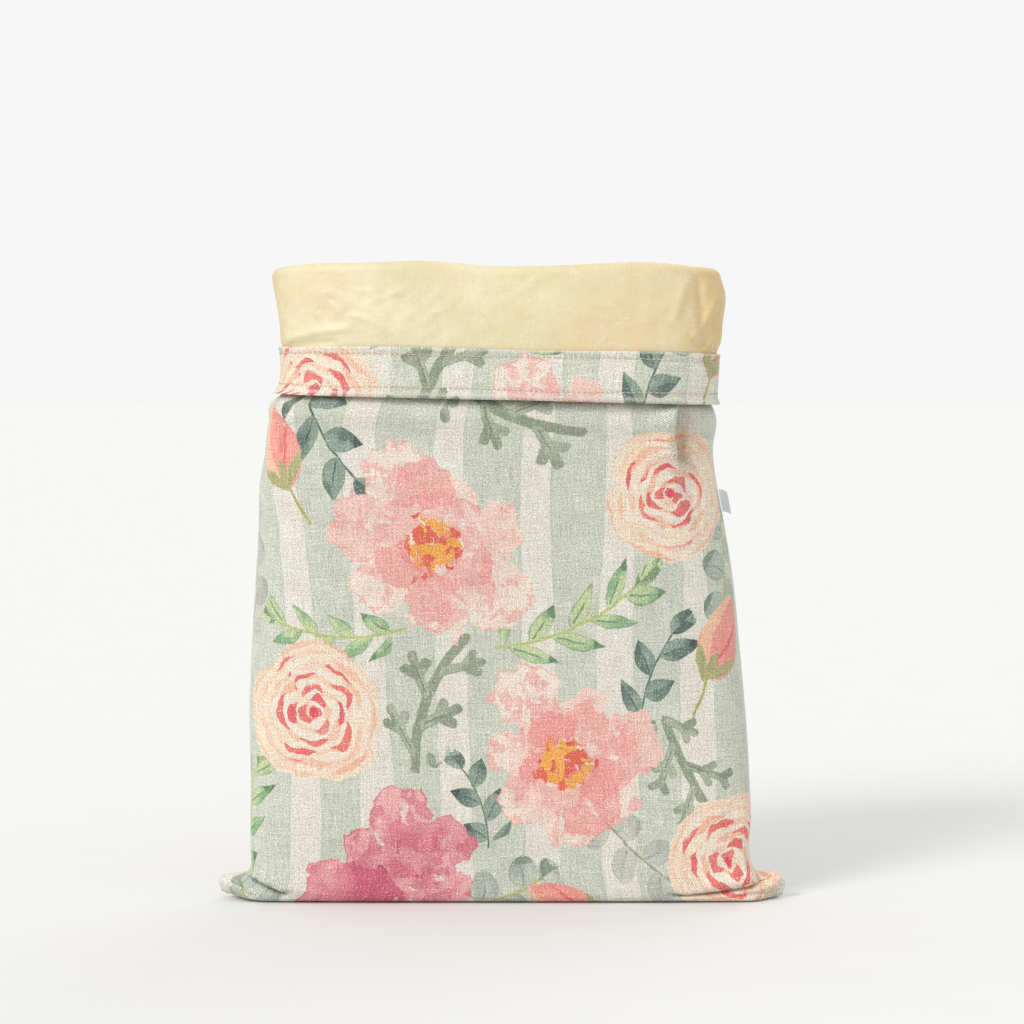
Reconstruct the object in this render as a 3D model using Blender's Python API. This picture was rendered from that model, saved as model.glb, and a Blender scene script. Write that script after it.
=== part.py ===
"""Linen bread bag standing open, its waxed lining turned down outside as a cuff with a hem band.

Axes: +X to the right seam, -Y to the front, +Z up. The origin is the centre of the base on the floor.
All sizes are in metres. "Flat" places are measured across the cut cloth from its middle line.
"""

import math

import bpy
import numpy as np

# The cut cloth.
FLAT_WIDTH = 0.306
LINEN_THICK = 0.0012
LINING_THICK = 0.0010
SEAM_GAP = 0.0003
SEAM_RIDGE = 0.0012
RIDGE_REACH = 0.006

# The layers, as distances outward from the middle of the outer wall cloth.
LINING_INSET = 0.0017
LEAF_OFFSET = 0.0040
FOLD_CENTRE = LEAF_OFFSET / 2
CUFF_OFFSET = LEAF_OFFSET + LINING_INSET
BAND_OFFSET = CUFF_OFFSET + LINING_INSET
LINEN_FOLD_RADIUS = LEAF_OFFSET / 2
LINING_FOLD_RADIUS = FOLD_CENTRE + LINING_INSET
RIM_RADIUS = (BAND_OFFSET - LEAF_OFFSET) / 2

# Heights of the cuff.
FOLD_HEIGHT = 0.3368
RIM_HEIGHT = 0.2728
BAND_HEIGHT = 0.0235
BAND_PARTS = tuple(1 - BAND_HEIGHT * share / (FOLD_HEIGHT - RIM_HEIGHT) for share in (1.0, 0.5, 0.0))
LINING_END_ABOVE_RIM = 0.0018

# Columns of the sheets, as flat places on one half.
FLAT_COLUMNS = (0.0, 0.026, 0.050, 0.071, 0.088, 0.101, 0.112, 0.122, 0.131, 0.138, 0.144, 0.149)

# Foot of the bag, from the bottom seam to the wall. Columns: seam_x is the reach of the side seam, seam_z
# its height, half_depth and middle_z the front edge of that row, power how square its plan is.
FOOT_ROWS = (
    # seam_x, seam_z, half_depth, middle_z, power
    (0.1518, 0.0026, 0.00015, 0.0006, 6.0),
    (0.1524, 0.0068, 0.0052, 0.0006, 3.2),
    (0.1516, 0.0112, 0.0104, 0.0006, 3.6),
    (0.1480, 0.0134, 0.0152, 0.0006, 4.6),
    (0.1430, 0.0138, 0.0188, 0.0020, 6.0),
    (0.1380, 0.0138, 0.0204, 0.0056, 7.0),
    (0.1348, 0.0166, 0.0212, 0.0110, 6.5),
)
EAR_EDGE = 0.004
TIP_REACH = (0.138, 0.152)
FOOT_LEVELS = (0.010, 0.090)

# Wall of the bag. Columns: level, left and right are the outer silhouette at that height, half_depth the
# middle of the front, power how square the section is. The girth that the folds take up is left out.
WALL_ROWS = (
    # level, left, right, half_depth, power
    (0.022, -0.1358, 0.1335, 0.0220, 5.6),
    (0.040, -0.1364, 0.1350, 0.0245, 4.6),
    (0.068, -0.1362, 0.1340, 0.0285, 3.9),
    (0.100, -0.1364, 0.1315, 0.0330, 3.5),
    (0.135, -0.1348, 0.1280, 0.0380, 3.4),
    (0.168, -0.1325, 0.1247, 0.0425, 3.4),
    (0.197, -0.1307, 0.1203, 0.0465, 3.4),
    (0.222, -0.1295, 0.1160, 0.0500, 3.5),
    (0.242, -0.1274, 0.1137, 0.0525, 3.6),
    (0.255, -0.1256, 0.1130, 0.0538, 3.7),
    (0.264, -0.1208, 0.1108, 0.0545, 3.8),
    (0.273, -0.1142, 0.1080, 0.0550, 3.9),
    (0.290, -0.1130, 0.1092, 0.0556, 4.0),
    (0.308, -0.1134, 0.1106, 0.0560, 4.0),
    (0.337, -0.1166, 0.1102, 0.0560, 4.0),
)

# Lines of the cuff across the front. Columns: x, then how far the fold and the rim stand off their heights.
CUFF_LINES = (
    # x, fold_rise, rim_rise
    (-0.120, -0.0022, 0.0030),
    (-0.100, 0.0006, 0.0018),
    (-0.045, 0.0022, 0.0002),
    (0.022, -0.0006, -0.0012),
    (0.072, 0.0008, -0.0026),
    (0.118, -0.0020, -0.0040),
)

CUFF_LINE_START = 0.200

# Folds of the walls. Columns: side (-1 front, 1 back), the line's two ends, its bow, how deep it is,
# and its widths to the left and to the right.
FOLDS = (
    # side, start_x, start_z, end_x, end_z, bow, depth, left_width, right_width
    (-1, 0.090, 0.274, 0.114, 0.184, -0.006, -0.0050, 0.004, 0.016),
    (-1, -0.121, 0.272, -0.112, 0.236, 0.000, -0.0026, 0.005, 0.005),
    (-1, -0.103, 0.270, -0.100, 0.243, 0.000, -0.0016, 0.006, 0.006),
    (-1, 0.127, 0.060, 0.114, 0.012, 0.003, -0.0030, 0.008, 0.008),
    (-1, 0.124, 0.134, 0.100, 0.108, 0.000, -0.0022, 0.010, 0.010),
    (-1, -0.150, 0.014, -0.116, 0.006, 0.000, -0.0030, 0.004, 0.004),
    (-1, 0.106, 0.006, 0.143, 0.009, 0.000, -0.0030, 0.004, 0.004),
    (1, -0.070, 0.268, -0.096, 0.170, 0.008, -0.0045, 0.012, 0.006),
    (1, 0.100, 0.262, 0.116, 0.150, 0.004, -0.0040, 0.006, 0.014),
    (1, 0.030, 0.120, 0.085, 0.030, 0.000, -0.0026, 0.012, 0.012),
    (1, -0.118, 0.110, -0.096, 0.020, -0.004, -0.0030, 0.009, 0.009),
)
FOLD_REFERENCE_DEPTH = 0.038
FOLD_START = (-0.12, 0.10)
FOLD_END = (0.70, 1.10)
FOLDS_FADE = (0.255, 0.269)

# Soft waves of the walls, as a part of their depth. Columns: strength, length along x, length along z.
WAVES = (
    # strength, length_x, length_z
    (0.018, 0.027, 0.043),
    (0.011, 0.016, 0.037),
)
WAVES_START = (0.015, 0.080)

# The walls sway back and forth as they rise.
SWAY = 0.0035
SWAY_LENGTH = 0.060
SWAY_START = (0.020, 0.120)

# The left foot corner stands a little off the floor.
CORNER_LIFT = 0.0042
CORNER_LIFT_START = 0.137

# Under the base the bottom seam lies a little behind the middle.
SEAM_BACK = 0.005
SEAM_BACK_HEIGHTS = (0.003, 0.010)
SEAM_BACK_REACH = (0.100, 0.132)
BASE_HALF_DEPTH = 0.0205

# Swelling of the cuff. Columns: x, height, extra offset, reach along x, reach in height.
CUFF_SWELLS = (
    # x, height, swell, reach_x, reach_z
    (0.121, 0.3270, 0.0040, 0.012, 0.009),
    (-0.123, 0.3270, 0.0016, 0.012, 0.016),
    (-0.020, 0.3120, 0.0012, 0.060, 0.014),
    (0.045, 0.2760, 0.0016, 0.030, 0.012),
    (0.092, 0.2740, 0.0018, 0.020, 0.012),
    (-0.112, 0.2770, 0.0016, 0.014, 0.012),
)

# The label in the right seam.
LABEL_HEIGHT = 0.0120
LABEL_REACH = 0.0046
LABEL_THICK = 0.0009
LABEL_LEVEL = 0.2152
LABEL_DROOP = 0.0016

# Colours and finishes. Columns: colour, roughness.
FINISHES = {
    "printed_linen": ((0.60, 0.66, 0.58, 1.0), 0.85),
    "waxed_lining": ((0.80, 0.71, 0.43, 1.0), 0.45),
    "label_tape": ((0.80, 0.85, 0.90, 1.0), 0.70),
}


def column(table, index):
    return np.array([row[index] for row in table])


def eased(value, start, end):
    part = np.clip((value - start) / (end - start), 0.0, 1.0)
    return part * part * (3.0 - 2.0 * part)


def smooth_curve(places, values, at):
    """A soft curve through the values of a table, read at any places."""
    slopes = np.gradient(values, places)
    span = np.clip(np.searchsorted(places, at) - 1, 0, len(places) - 2)
    width = places[span + 1] - places[span]
    part = np.clip((at - places[span]) / width, 0.0, 1.0)
    start, end = values[span], values[span + 1]
    bend = (1 - part) * slopes[span] * width - part * slopes[span + 1] * width
    blend = part * part * (3 - 2 * part)
    return start + (end - start) * blend + part * (1 - part) * bend


def half_oval(left, right, half_depth, power):
    """The front half of a squarish oval from the left seam to the right one, and the length along it."""
    turn = np.linspace(math.pi, 0.0, 721)
    across, forward = np.cos(turn), np.sin(turn)
    x = (left + right) / 2 + (right - left) / 2 * np.sign(across) * np.abs(across) ** (2 / power)
    y = -half_depth * np.abs(forward) ** (2 / power)
    steps = np.hypot(np.diff(x), np.diff(y))
    return x, y, np.concatenate([[0.0], np.cumsum(steps)])


def oval_at(flat, left, right, half_depth, power):
    """Places on the half oval at the flat places, with the outward direction of each."""
    x, y, length = half_oval(left, right, half_depth, power)
    reach = (length / length[-1] - 0.5) * FLAT_WIDTH
    along_x, along_y = np.gradient(x, reach), np.gradient(y, reach)
    place = np.stack([np.interp(flat, reach, x), np.interp(flat, reach, y)], axis=1)
    outward = np.stack([np.interp(flat, reach, along_y), -np.interp(flat, reach, along_x)], axis=1)
    return place, outward / np.linalg.norm(outward, axis=1, keepdims=True)


def flat_columns():
    half = np.array(FLAT_COLUMNS + (FLAT_WIDTH / 2 - SEAM_GAP / 2,))
    return np.concatenate([-half[:0:-1], half])


def wall_sizes(level):
    levels = column(WALL_ROWS, 0)
    edge = LINEN_THICK / 2 + SEAM_RIDGE
    left = smooth_curve(levels, column(WALL_ROWS, 1), level) + edge
    right = smooth_curve(levels, column(WALL_ROWS, 2), level) - edge
    half_depth = smooth_curve(levels, column(WALL_ROWS, 3), level)
    power = smooth_curve(levels, column(WALL_ROWS, 4), level)
    return float(left), float(right), float(half_depth), float(power)


def cuff_line(index, x):
    places = column(CUFF_LINES, 0)
    return smooth_curve(places, column(CUFF_LINES, index), np.clip(x, places[0], places[-1]))


def cuff_swell(x, height):
    swell = np.zeros_like(x)
    for centre_x, centre_z, amount, reach_x, reach_z in CUFF_SWELLS:
        away = ((x - centre_x) / reach_x) ** 2 + ((height - centre_z) / reach_z) ** 2
        swell += amount * np.exp(-away)
    return swell


def foot_row(flat, seam_x, seam_z, half_depth, middle_z, power):
    place, _ = oval_at(flat, -seam_x, seam_x, half_depth, power)
    rise = eased(np.abs(flat), FLAT_WIDTH / 2 - half_depth - EAR_EDGE, FLAT_WIDTH / 2)
    return np.column_stack([place, middle_z + (seam_z - middle_z) * rise])


def wall_row(flat, level, offset, height):
    """A row at a level of the wall, moved outward by offset. Its height may differ from column to column."""
    place, outward = oval_at(flat, *wall_sizes(level))
    ridge = SEAM_RIDGE * np.exp(-(((FLAT_WIDTH / 2 - np.abs(flat)) / RIDGE_REACH) ** 2))
    place = place + outward * (offset + ridge)[:, None]
    return np.column_stack([place, height * np.ones(len(flat))])


def fold_row(flat, radius, turn):
    """A row of the rounded fold at the top of the cuff; turn runs from the wall, 0, to the cuff, pi."""
    rough_x = wall_row(flat, FOLD_HEIGHT, 0 * flat, FOLD_HEIGHT)[:, 0]
    height = FOLD_HEIGHT + cuff_line(1, rough_x)
    swell = cuff_swell(rough_x, height) * turn / math.pi
    offset = FOLD_CENTRE - radius * math.cos(turn) + swell
    return wall_row(flat, FOLD_HEIGHT, offset, height + radius * math.sin(turn))


def cuff_row(flat, offset, part, rise=0.0):
    """A row of the cuff; part runs from the fold, 0, to the rim, 1, and rise lifts the row."""
    level = FOLD_HEIGHT + (RIM_HEIGHT - FOLD_HEIGHT) * part
    rough_x = wall_row(flat, level, 0 * flat, level)[:, 0]
    height = level + cuff_line(1, rough_x) * (1 - part) + cuff_line(2, rough_x) * part
    return wall_row(flat, level, offset + cuff_swell(rough_x, height), height + rise)


def wall_rows(flat):
    """The rows of the outer wall cloth from the foot to the fold."""
    rows = []
    for seam_x, seam_z, half_depth, middle_z, power in FOOT_ROWS:
        rows.append(foot_row(flat, seam_x, seam_z, half_depth, middle_z, power))
    foot_rise = FOOT_ROWS[-1][1] - FOOT_ROWS[-1][3]
    side = eased(np.abs(flat), FLAT_WIDTH / 2 - FOOT_ROWS[-1][2] - EAR_EDGE, FLAT_WIDTH / 2)
    for level in column(WALL_ROWS, 0)[:-1]:
        rise = foot_rise * side * (1 - eased(level, *FOOT_LEVELS))
        row = wall_row(flat, level, 0 * flat, level + rise)
        row[:, 2] += cuff_line(1, row[:, 0]) * eased(level, CUFF_LINE_START, FOLD_HEIGHT)
        rows.append(row)
    return rows


def outer_path(flat):
    rows = wall_rows(flat)
    for turn in np.linspace(0, math.pi, 4):
        rows.append(fold_row(flat, LINEN_FOLD_RADIUS, turn))
    for part in (BAND_PARTS[0] / 2,) + BAND_PARTS:
        rows.append(cuff_row(flat, LEAF_OFFSET, part))
    for turn in (math.pi / 3, 2 * math.pi / 3):
        offset = CUFF_OFFSET - RIM_RADIUS * math.cos(turn)
        rows.append(cuff_row(flat, offset, 1.0, -RIM_RADIUS * math.sin(turn)))
    for part in BAND_PARTS[::-1]:
        rows.append(cuff_row(flat, BAND_OFFSET, part))
    return np.stack(rows)


def surface_normals(grid):
    """The outward direction at each point of a grid that starts at the bottom seam and runs up and right."""
    up = np.gradient(grid, axis=0)
    across = np.gradient(grid, axis=1)
    normal = np.cross(across, up)
    normal[:, 0, 1] = 0.0
    normal[:, -1, 1] = 0.0
    normal = normal / np.linalg.norm(normal, axis=2, keepdims=True)
    seam_x = grid[0, :, 0]
    normal[0] = (0.0, 0.0, -1.0)
    normal[0, :, 0] = np.sign(seam_x) * eased(np.abs(seam_x), *TIP_REACH)
    return normal


def lining_path(flat):
    wall = np.stack(wall_rows(flat))
    rows = list(wall - LINING_INSET * surface_normals(wall))
    for turn in np.linspace(0, math.pi, 4):
        rows.append(fold_row(flat, LINING_FOLD_RADIUS, turn))
    for part in (BAND_PARTS[0] / 2,) + BAND_PARTS[:2]:
        rows.append(cuff_row(flat, CUFF_OFFSET, part))
    rows.append(cuff_row(flat, CUFF_OFFSET, 1.0, LINING_END_ABOVE_RIM))
    return np.stack(rows)


def fold_scale(points, side):
    """How much the folds of one side push its points in or out, as a part of their depth."""
    x, z = points[..., 0], points[..., 2]
    scale = np.zeros_like(x)
    for row_side, start_x, start_z, end_x, end_z, bow, depth, left_width, right_width in FOLDS:
        if row_side != side:
            continue
        line_x, line_z = end_x - start_x, end_z - start_z
        length = math.hypot(line_x, line_z)
        part = ((x - start_x) * line_x + (z - start_z) * line_z) / length**2
        away = ((z - start_z) * line_x - (x - start_x) * line_z) / length
        away = away - bow * 4 * np.clip(part, 0, 1) * (1 - np.clip(part, 0, 1))
        width = np.where(away < 0, left_width, right_width)
        ends = eased(part, *FOLD_START) * (1 - eased(part, *FOLD_END))
        scale += depth / FOLD_REFERENCE_DEPTH * np.exp(-((away / width) ** 2)) * ends
    scale *= 1 - eased(z, *FOLDS_FADE)
    for strength, length_x, length_z in WAVES:
        wave = np.sin(x / length_x + side) * np.sin(z / length_z + side)
        scale += strength * wave * eased(z, *WAVES_START)
    return scale


def settled(points):
    """Puts the folds, the sway, the bottom seam and the lifted corner into points of the even shape."""
    x, y, z = points[..., 0], points[..., 1], points[..., 2]
    under = (1 - eased(z, *SEAM_BACK_HEIGHTS)) * (1 - eased(np.abs(x), *SEAM_BACK_REACH))
    y = y + SEAM_BACK * under * np.clip(1 - (y / BASE_HALF_DEPTH) ** 2, 0, 1)
    scale = np.where(points[..., 1] < 0, fold_scale(points, -1), fold_scale(points, 1))
    sway = SWAY * np.sin(z / SWAY_LENGTH) * eased(z, *SWAY_START)
    lift = CORNER_LIFT * eased(-x, CORNER_LIFT_START, FLAT_WIDTH / 2)
    return np.stack([x, y * (1 + scale) + sway, z + lift], axis=-1)


def skins(grid, thickness):
    """The outer and the inner skin of a sheet, kept on its own side of the seam plane."""
    normals = surface_normals(grid)
    pair = []
    for half in (thickness / 2, -thickness / 2):
        skin = grid + normals * half
        skin[..., 1] = np.minimum(skin[..., 1], -SEAM_GAP / 2)
        skin[..., 2] = np.maximum(skin[..., 2], 0.0)
        pair.append(skin)
    return pair


def mirrored(skin):
    return skin * np.array([1.0, -1.0, 1.0])


def sheet_object(name, outer, inner, finish):
    """A closed sheet between two grids of points."""
    rows, columns = outer.shape[:2]
    points = np.concatenate([outer.reshape(-1, 3), inner.reshape(-1, 3)])
    index = np.arange(rows * columns).reshape(rows, columns)
    under = index + rows * columns
    faces = []
    for r in range(rows - 1):
        for c in range(columns - 1):
            faces.append((index[r, c], index[r, c + 1], index[r + 1, c + 1], index[r + 1, c]))
            faces.append((under[r, c], under[r + 1, c], under[r + 1, c + 1], under[r, c + 1]))
    rim = list(index[0]) + list(index[1:, -1]) + list(index[-1, -2::-1]) + list(index[-2:0:-1, 0])
    for here, following in zip(rim, rim[1:] + rim[:1]):
        low = rows * columns
        faces.append((following, here, here + low, following + low))
    mesh = bpy.data.meshes.new(name)
    mesh.from_pydata([tuple(map(float, p)) for p in points], [], [tuple(map(int, f)) for f in faces])
    mesh.shade_smooth()
    mesh.set_sharp_from_angle(angle=math.radians(50))
    mesh.materials.append(finish)
    piece = bpy.data.objects.new(name, mesh)
    bpy.context.scene.collection.objects.link(piece)
    return piece


def make_finish(name):
    colour, roughness = FINISHES[name]
    finish = bpy.data.materials.new(name)
    finish.use_nodes = True
    shader = finish.node_tree.nodes["Principled BSDF"]
    shader.inputs["Base Color"].default_value = colour
    shader.inputs["Roughness"].default_value = roughness
    shader.inputs["Metallic"].default_value = 0.0
    return finish


def make_outer_panels(flat, finish):
    outer, inner = skins(outer_path(flat), LINEN_THICK)
    sheet_object("outer_front", settled(outer), settled(inner), finish)
    back_outer, back_inner = mirrored(outer)[:, ::-1], mirrored(inner)[:, ::-1]
    sheet_object("outer_back", settled(back_outer), settled(back_inner), finish)


def make_lining(flat, finish):
    """One length of cloth that runs down the front, across the base and up the back."""
    halves = []
    for skin in skins(lining_path(flat), LINING_THICK):
        bottom = skin[:1] * np.array([1.0, 0.0, 1.0])
        halves.append(np.concatenate([mirrored(skin[1:])[::-1], bottom, skin[1:]]))
    sheet_object("lining", settled(halves[0]), settled(halves[1]), finish)


def make_label(finish):
    """A blank folded tab that stands out of the right side seam and droops a little."""
    grid = np.zeros((4, 4, 3))
    for r, up in enumerate(np.linspace(-0.5, 0.5, 4)):
        height = LABEL_LEVEL + LABEL_HEIGHT * up
        start = np.interp(height, column(WALL_ROWS, 0), column(WALL_ROWS, 2)) + SEAM_GAP
        for c, out in enumerate(np.linspace(0, 1, 4)):
            droop = LABEL_DROOP * out * out
            grid[r, c] = (start + LABEL_REACH * out, -droop, height - droop)
    half = np.array([0.0, LABEL_THICK / 2, 0.0])
    sheet_object("label", settled(grid - half), settled(grid + half), finish)


def main():
    for thing in list(bpy.data.objects):
        bpy.data.objects.remove(thing)
    flat = flat_columns()
    make_outer_panels(flat, make_finish("printed_linen"))
    make_lining(flat, make_finish("waxed_lining"))
    make_label(make_finish("label_tape"))


main()
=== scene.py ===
import math

import bpy
import numpy as np
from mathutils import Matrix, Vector


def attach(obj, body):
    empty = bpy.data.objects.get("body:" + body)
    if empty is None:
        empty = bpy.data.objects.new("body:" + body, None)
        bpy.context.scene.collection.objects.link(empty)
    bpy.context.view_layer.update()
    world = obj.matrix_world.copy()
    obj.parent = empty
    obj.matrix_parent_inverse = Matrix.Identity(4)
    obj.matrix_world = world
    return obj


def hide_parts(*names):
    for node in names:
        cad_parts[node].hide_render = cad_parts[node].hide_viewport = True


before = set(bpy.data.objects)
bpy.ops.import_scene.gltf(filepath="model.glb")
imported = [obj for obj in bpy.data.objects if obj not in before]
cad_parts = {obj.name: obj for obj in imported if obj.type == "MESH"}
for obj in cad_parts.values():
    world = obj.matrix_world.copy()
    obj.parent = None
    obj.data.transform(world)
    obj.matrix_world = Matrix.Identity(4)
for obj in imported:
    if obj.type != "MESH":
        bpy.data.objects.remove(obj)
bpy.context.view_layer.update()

# A lined linen bread bag that stands open. Metres, +X right, -Y front, +Z up.
# The wax-coated lining is turned out over the mouth and ends under a stitched hem band.

print("frame loaded:", ", ".join(sorted(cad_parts)))

# the shape that both layers of cloth share

bag = {
    "flatWidth": 0.306,      # between the side seams
    "ovalSteps": 1441,
    "linenThick": 0.0012,
    "liningThick": 0.0010,
    "seamGap": 0.0003,       # between the panels at a seam
    "seamRidge": 0.0012,     # a seam swells the wall by this much
    "ridgeReach": 0.006,
    "seamRoll": 0.0010,      # and its edges roll in by this much
    "rollReach": 0.0014,
    "liningInset": 0.0017,   # between the middles of two layers
    "leafOffset": 0.0040,    # between the wall and the turned-out leaf
    "foldHeight": 0.3368,    # top of the cuff
    "rimHeight": 0.2728,     # its lower edge
    "bandHeight": 0.0235,
    "liningEnd": 0.0018,     # the lining stops this far above the rim
    "footRiseEnd": (0.010, 0.090),  # the rows over the bottom corners come level between these heights
    "wavyFrom": 0.200,       # the wall follows the wavy top fold from this height
    "earEdge": 0.004,
    "earTurn": (0.138, 0.152),  # the bottom seam turns from facing down to facing sideways
    "earSqueeze": 0.24,      # the left ear is flatter than the right one
    "cornerLift": 0.0024,    # the left foot corner is off the floor
    "cornerLiftStart": 0.124,
    "seamBack": 0.005,       # the bottom seam lies behind the middle
    "baseHalfDepth": 0.0205,
    "sway": 0.0035,
    "pressAtSeam": 0.52,     # the layers of the band press together towards the seams
    "pressReach": 0.011,
    "pressFrom": (0.50, 0.72),  # shares of the way down the cuff
}
foldCentre = bag["leafOffset"] / 2
cuffOffset = bag["leafOffset"] + bag["liningInset"]
bandOffset = cuffOffset + bag["liningInset"]
rimRadius = (bandOffset - bag["leafOffset"]) / 2
bandPart = 1 - bag["bandHeight"] / (bag["foldHeight"] - bag["rimHeight"])

# from the bottom seam to the wall: reach and height of the side seam, half depth, height of the
# front edge, squareness in plan
footRows = (
    (0.1518, 0.0026, 0.00015, 0.0006, 6.0),
    (0.1524, 0.0068, 0.0052, 0.0006, 3.2),
    (0.1516, 0.0112, 0.0104, 0.0006, 3.6),
    (0.1480, 0.0134, 0.0152, 0.0006, 4.6),
    (0.1430, 0.0138, 0.0188, 0.0020, 6.0),
    (0.1380, 0.0138, 0.0204, 0.0056, 7.0),
    (0.1348, 0.0166, 0.0212, 0.0110, 6.5),
)
# level, left and right side, half depth, squareness in plan
wallRows = (
    (0.022, -0.1358, 0.1335, 0.0220, 5.6),
    (0.040, -0.1364, 0.1350, 0.0245, 4.6),
    (0.068, -0.1362, 0.1340, 0.0285, 3.9),
    (0.100, -0.1364, 0.1315, 0.0330, 3.5),
    (0.135, -0.1348, 0.1280, 0.0380, 3.4),
    (0.168, -0.1325, 0.1247, 0.0425, 3.4),
    (0.197, -0.1307, 0.1203, 0.0465, 3.4),
    (0.222, -0.1295, 0.1160, 0.0500, 3.5),
    (0.242, -0.1274, 0.1137, 0.0525, 3.6),
    (0.255, -0.1256, 0.1130, 0.0538, 3.7),
    (0.264, -0.1208, 0.1108, 0.0545, 3.8),
    (0.273, -0.1142, 0.1080, 0.0550, 3.9),
    (0.290, -0.1130, 0.1092, 0.0556, 4.0),
    (0.308, -0.1134, 0.1106, 0.0560, 4.0),
    (0.337, -0.1166, 0.1102, 0.0560, 4.0),
)
# x, then how far the top fold and the rim stand off their heights
cuffLines = (
    (-0.120, -0.0022, 0.0030),
    (-0.100, 0.0006, 0.0018),
    (-0.045, 0.0022, 0.0002),
    (0.022, -0.0006, -0.0012),
    (0.072, 0.0008, -0.0026),
    (0.118, -0.0020, -0.0040),
)
# x, height, swell, reach along x, reach in height
cuffSwells = (
    (0.121, 0.3270, 0.0040, 0.012, 0.009),
    (-0.123, 0.3270, 0.0016, 0.012, 0.016),
    (-0.020, 0.3120, 0.0012, 0.060, 0.014),
    (0.045, 0.2760, 0.0016, 0.030, 0.012),
    (0.092, 0.2740, 0.0018, 0.020, 0.012),
    (-0.112, 0.2770, 0.0016, 0.014, 0.012),
)
# x, how far the wall draws in just under the band, and how far it comes out again below that
neckDepths = (
    (-0.120, 0.0040, 0.0016),
    (-0.108, 0.0034, 0.0024),
    (-0.098, 0.0018, 0.0040),
    (-0.050, 0.0020, 0.0040),
    (-0.026, 0.0046, 0.0030),
    (0.032, 0.0052, 0.0026),
    (0.058, 0.0026, 0.0036),
    (0.084, 0.0020, 0.0040),
    (0.098, 0.0048, 0.0016),
    (0.114, 0.0042, 0.0016),
)
# main folds: side (-1 front, 1 back), the line's two ends (x, z), bow, depth, widths to its left and right
mainFolds = (
    (-1, 0.090, 0.274, 0.114, 0.184, -0.006, -0.0050, 0.004, 0.016),
    (-1, -0.121, 0.272, -0.112, 0.236, 0.000, -0.0026, 0.005, 0.005),
    (-1, -0.103, 0.270, -0.100, 0.243, 0.000, -0.0016, 0.006, 0.006),
    (-1, 0.127, 0.060, 0.114, 0.012, 0.003, -0.0030, 0.008, 0.008),
    (-1, 0.124, 0.134, 0.100, 0.108, 0.000, -0.0022, 0.010, 0.010),
    (-1, -0.150, 0.014, -0.116, 0.006, 0.000, -0.0030, 0.004, 0.004),
    (-1, 0.106, 0.006, 0.143, 0.009, 0.000, -0.0030, 0.004, 0.004),
    (1, -0.070, 0.268, -0.096, 0.170, 0.008, -0.0045, 0.012, 0.006),
    (1, 0.100, 0.262, 0.116, 0.150, 0.004, -0.0040, 0.006, 0.014),
    (1, 0.030, 0.120, 0.085, 0.030, 0.000, -0.0026, 0.012, 0.012),
    (1, -0.118, 0.110, -0.096, 0.020, -0.004, -0.0030, 0.009, 0.009),
)
# the cloth bulges at the sides where the band lets it go: side in x, height, amount, reach up and down
sidePuffs = (
    (-1, 0.2685, 0.0066, 0.0085),
    (1, 0.2610, 0.0034, 0.0110),
    (-1, 0.2250, 0.0012, 0.0120),
)
# the same columns, for the cuff
cuffPuffs = (
    (1, 0.3195, 0.0030, 0.0130),
    (1, 0.3020, 0.0015, 0.0070),
)
puffTops = {-1: (0.2722, 0.2748), 1: (0.2660, 0.2705)}  # the puffs end between these heights
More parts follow.
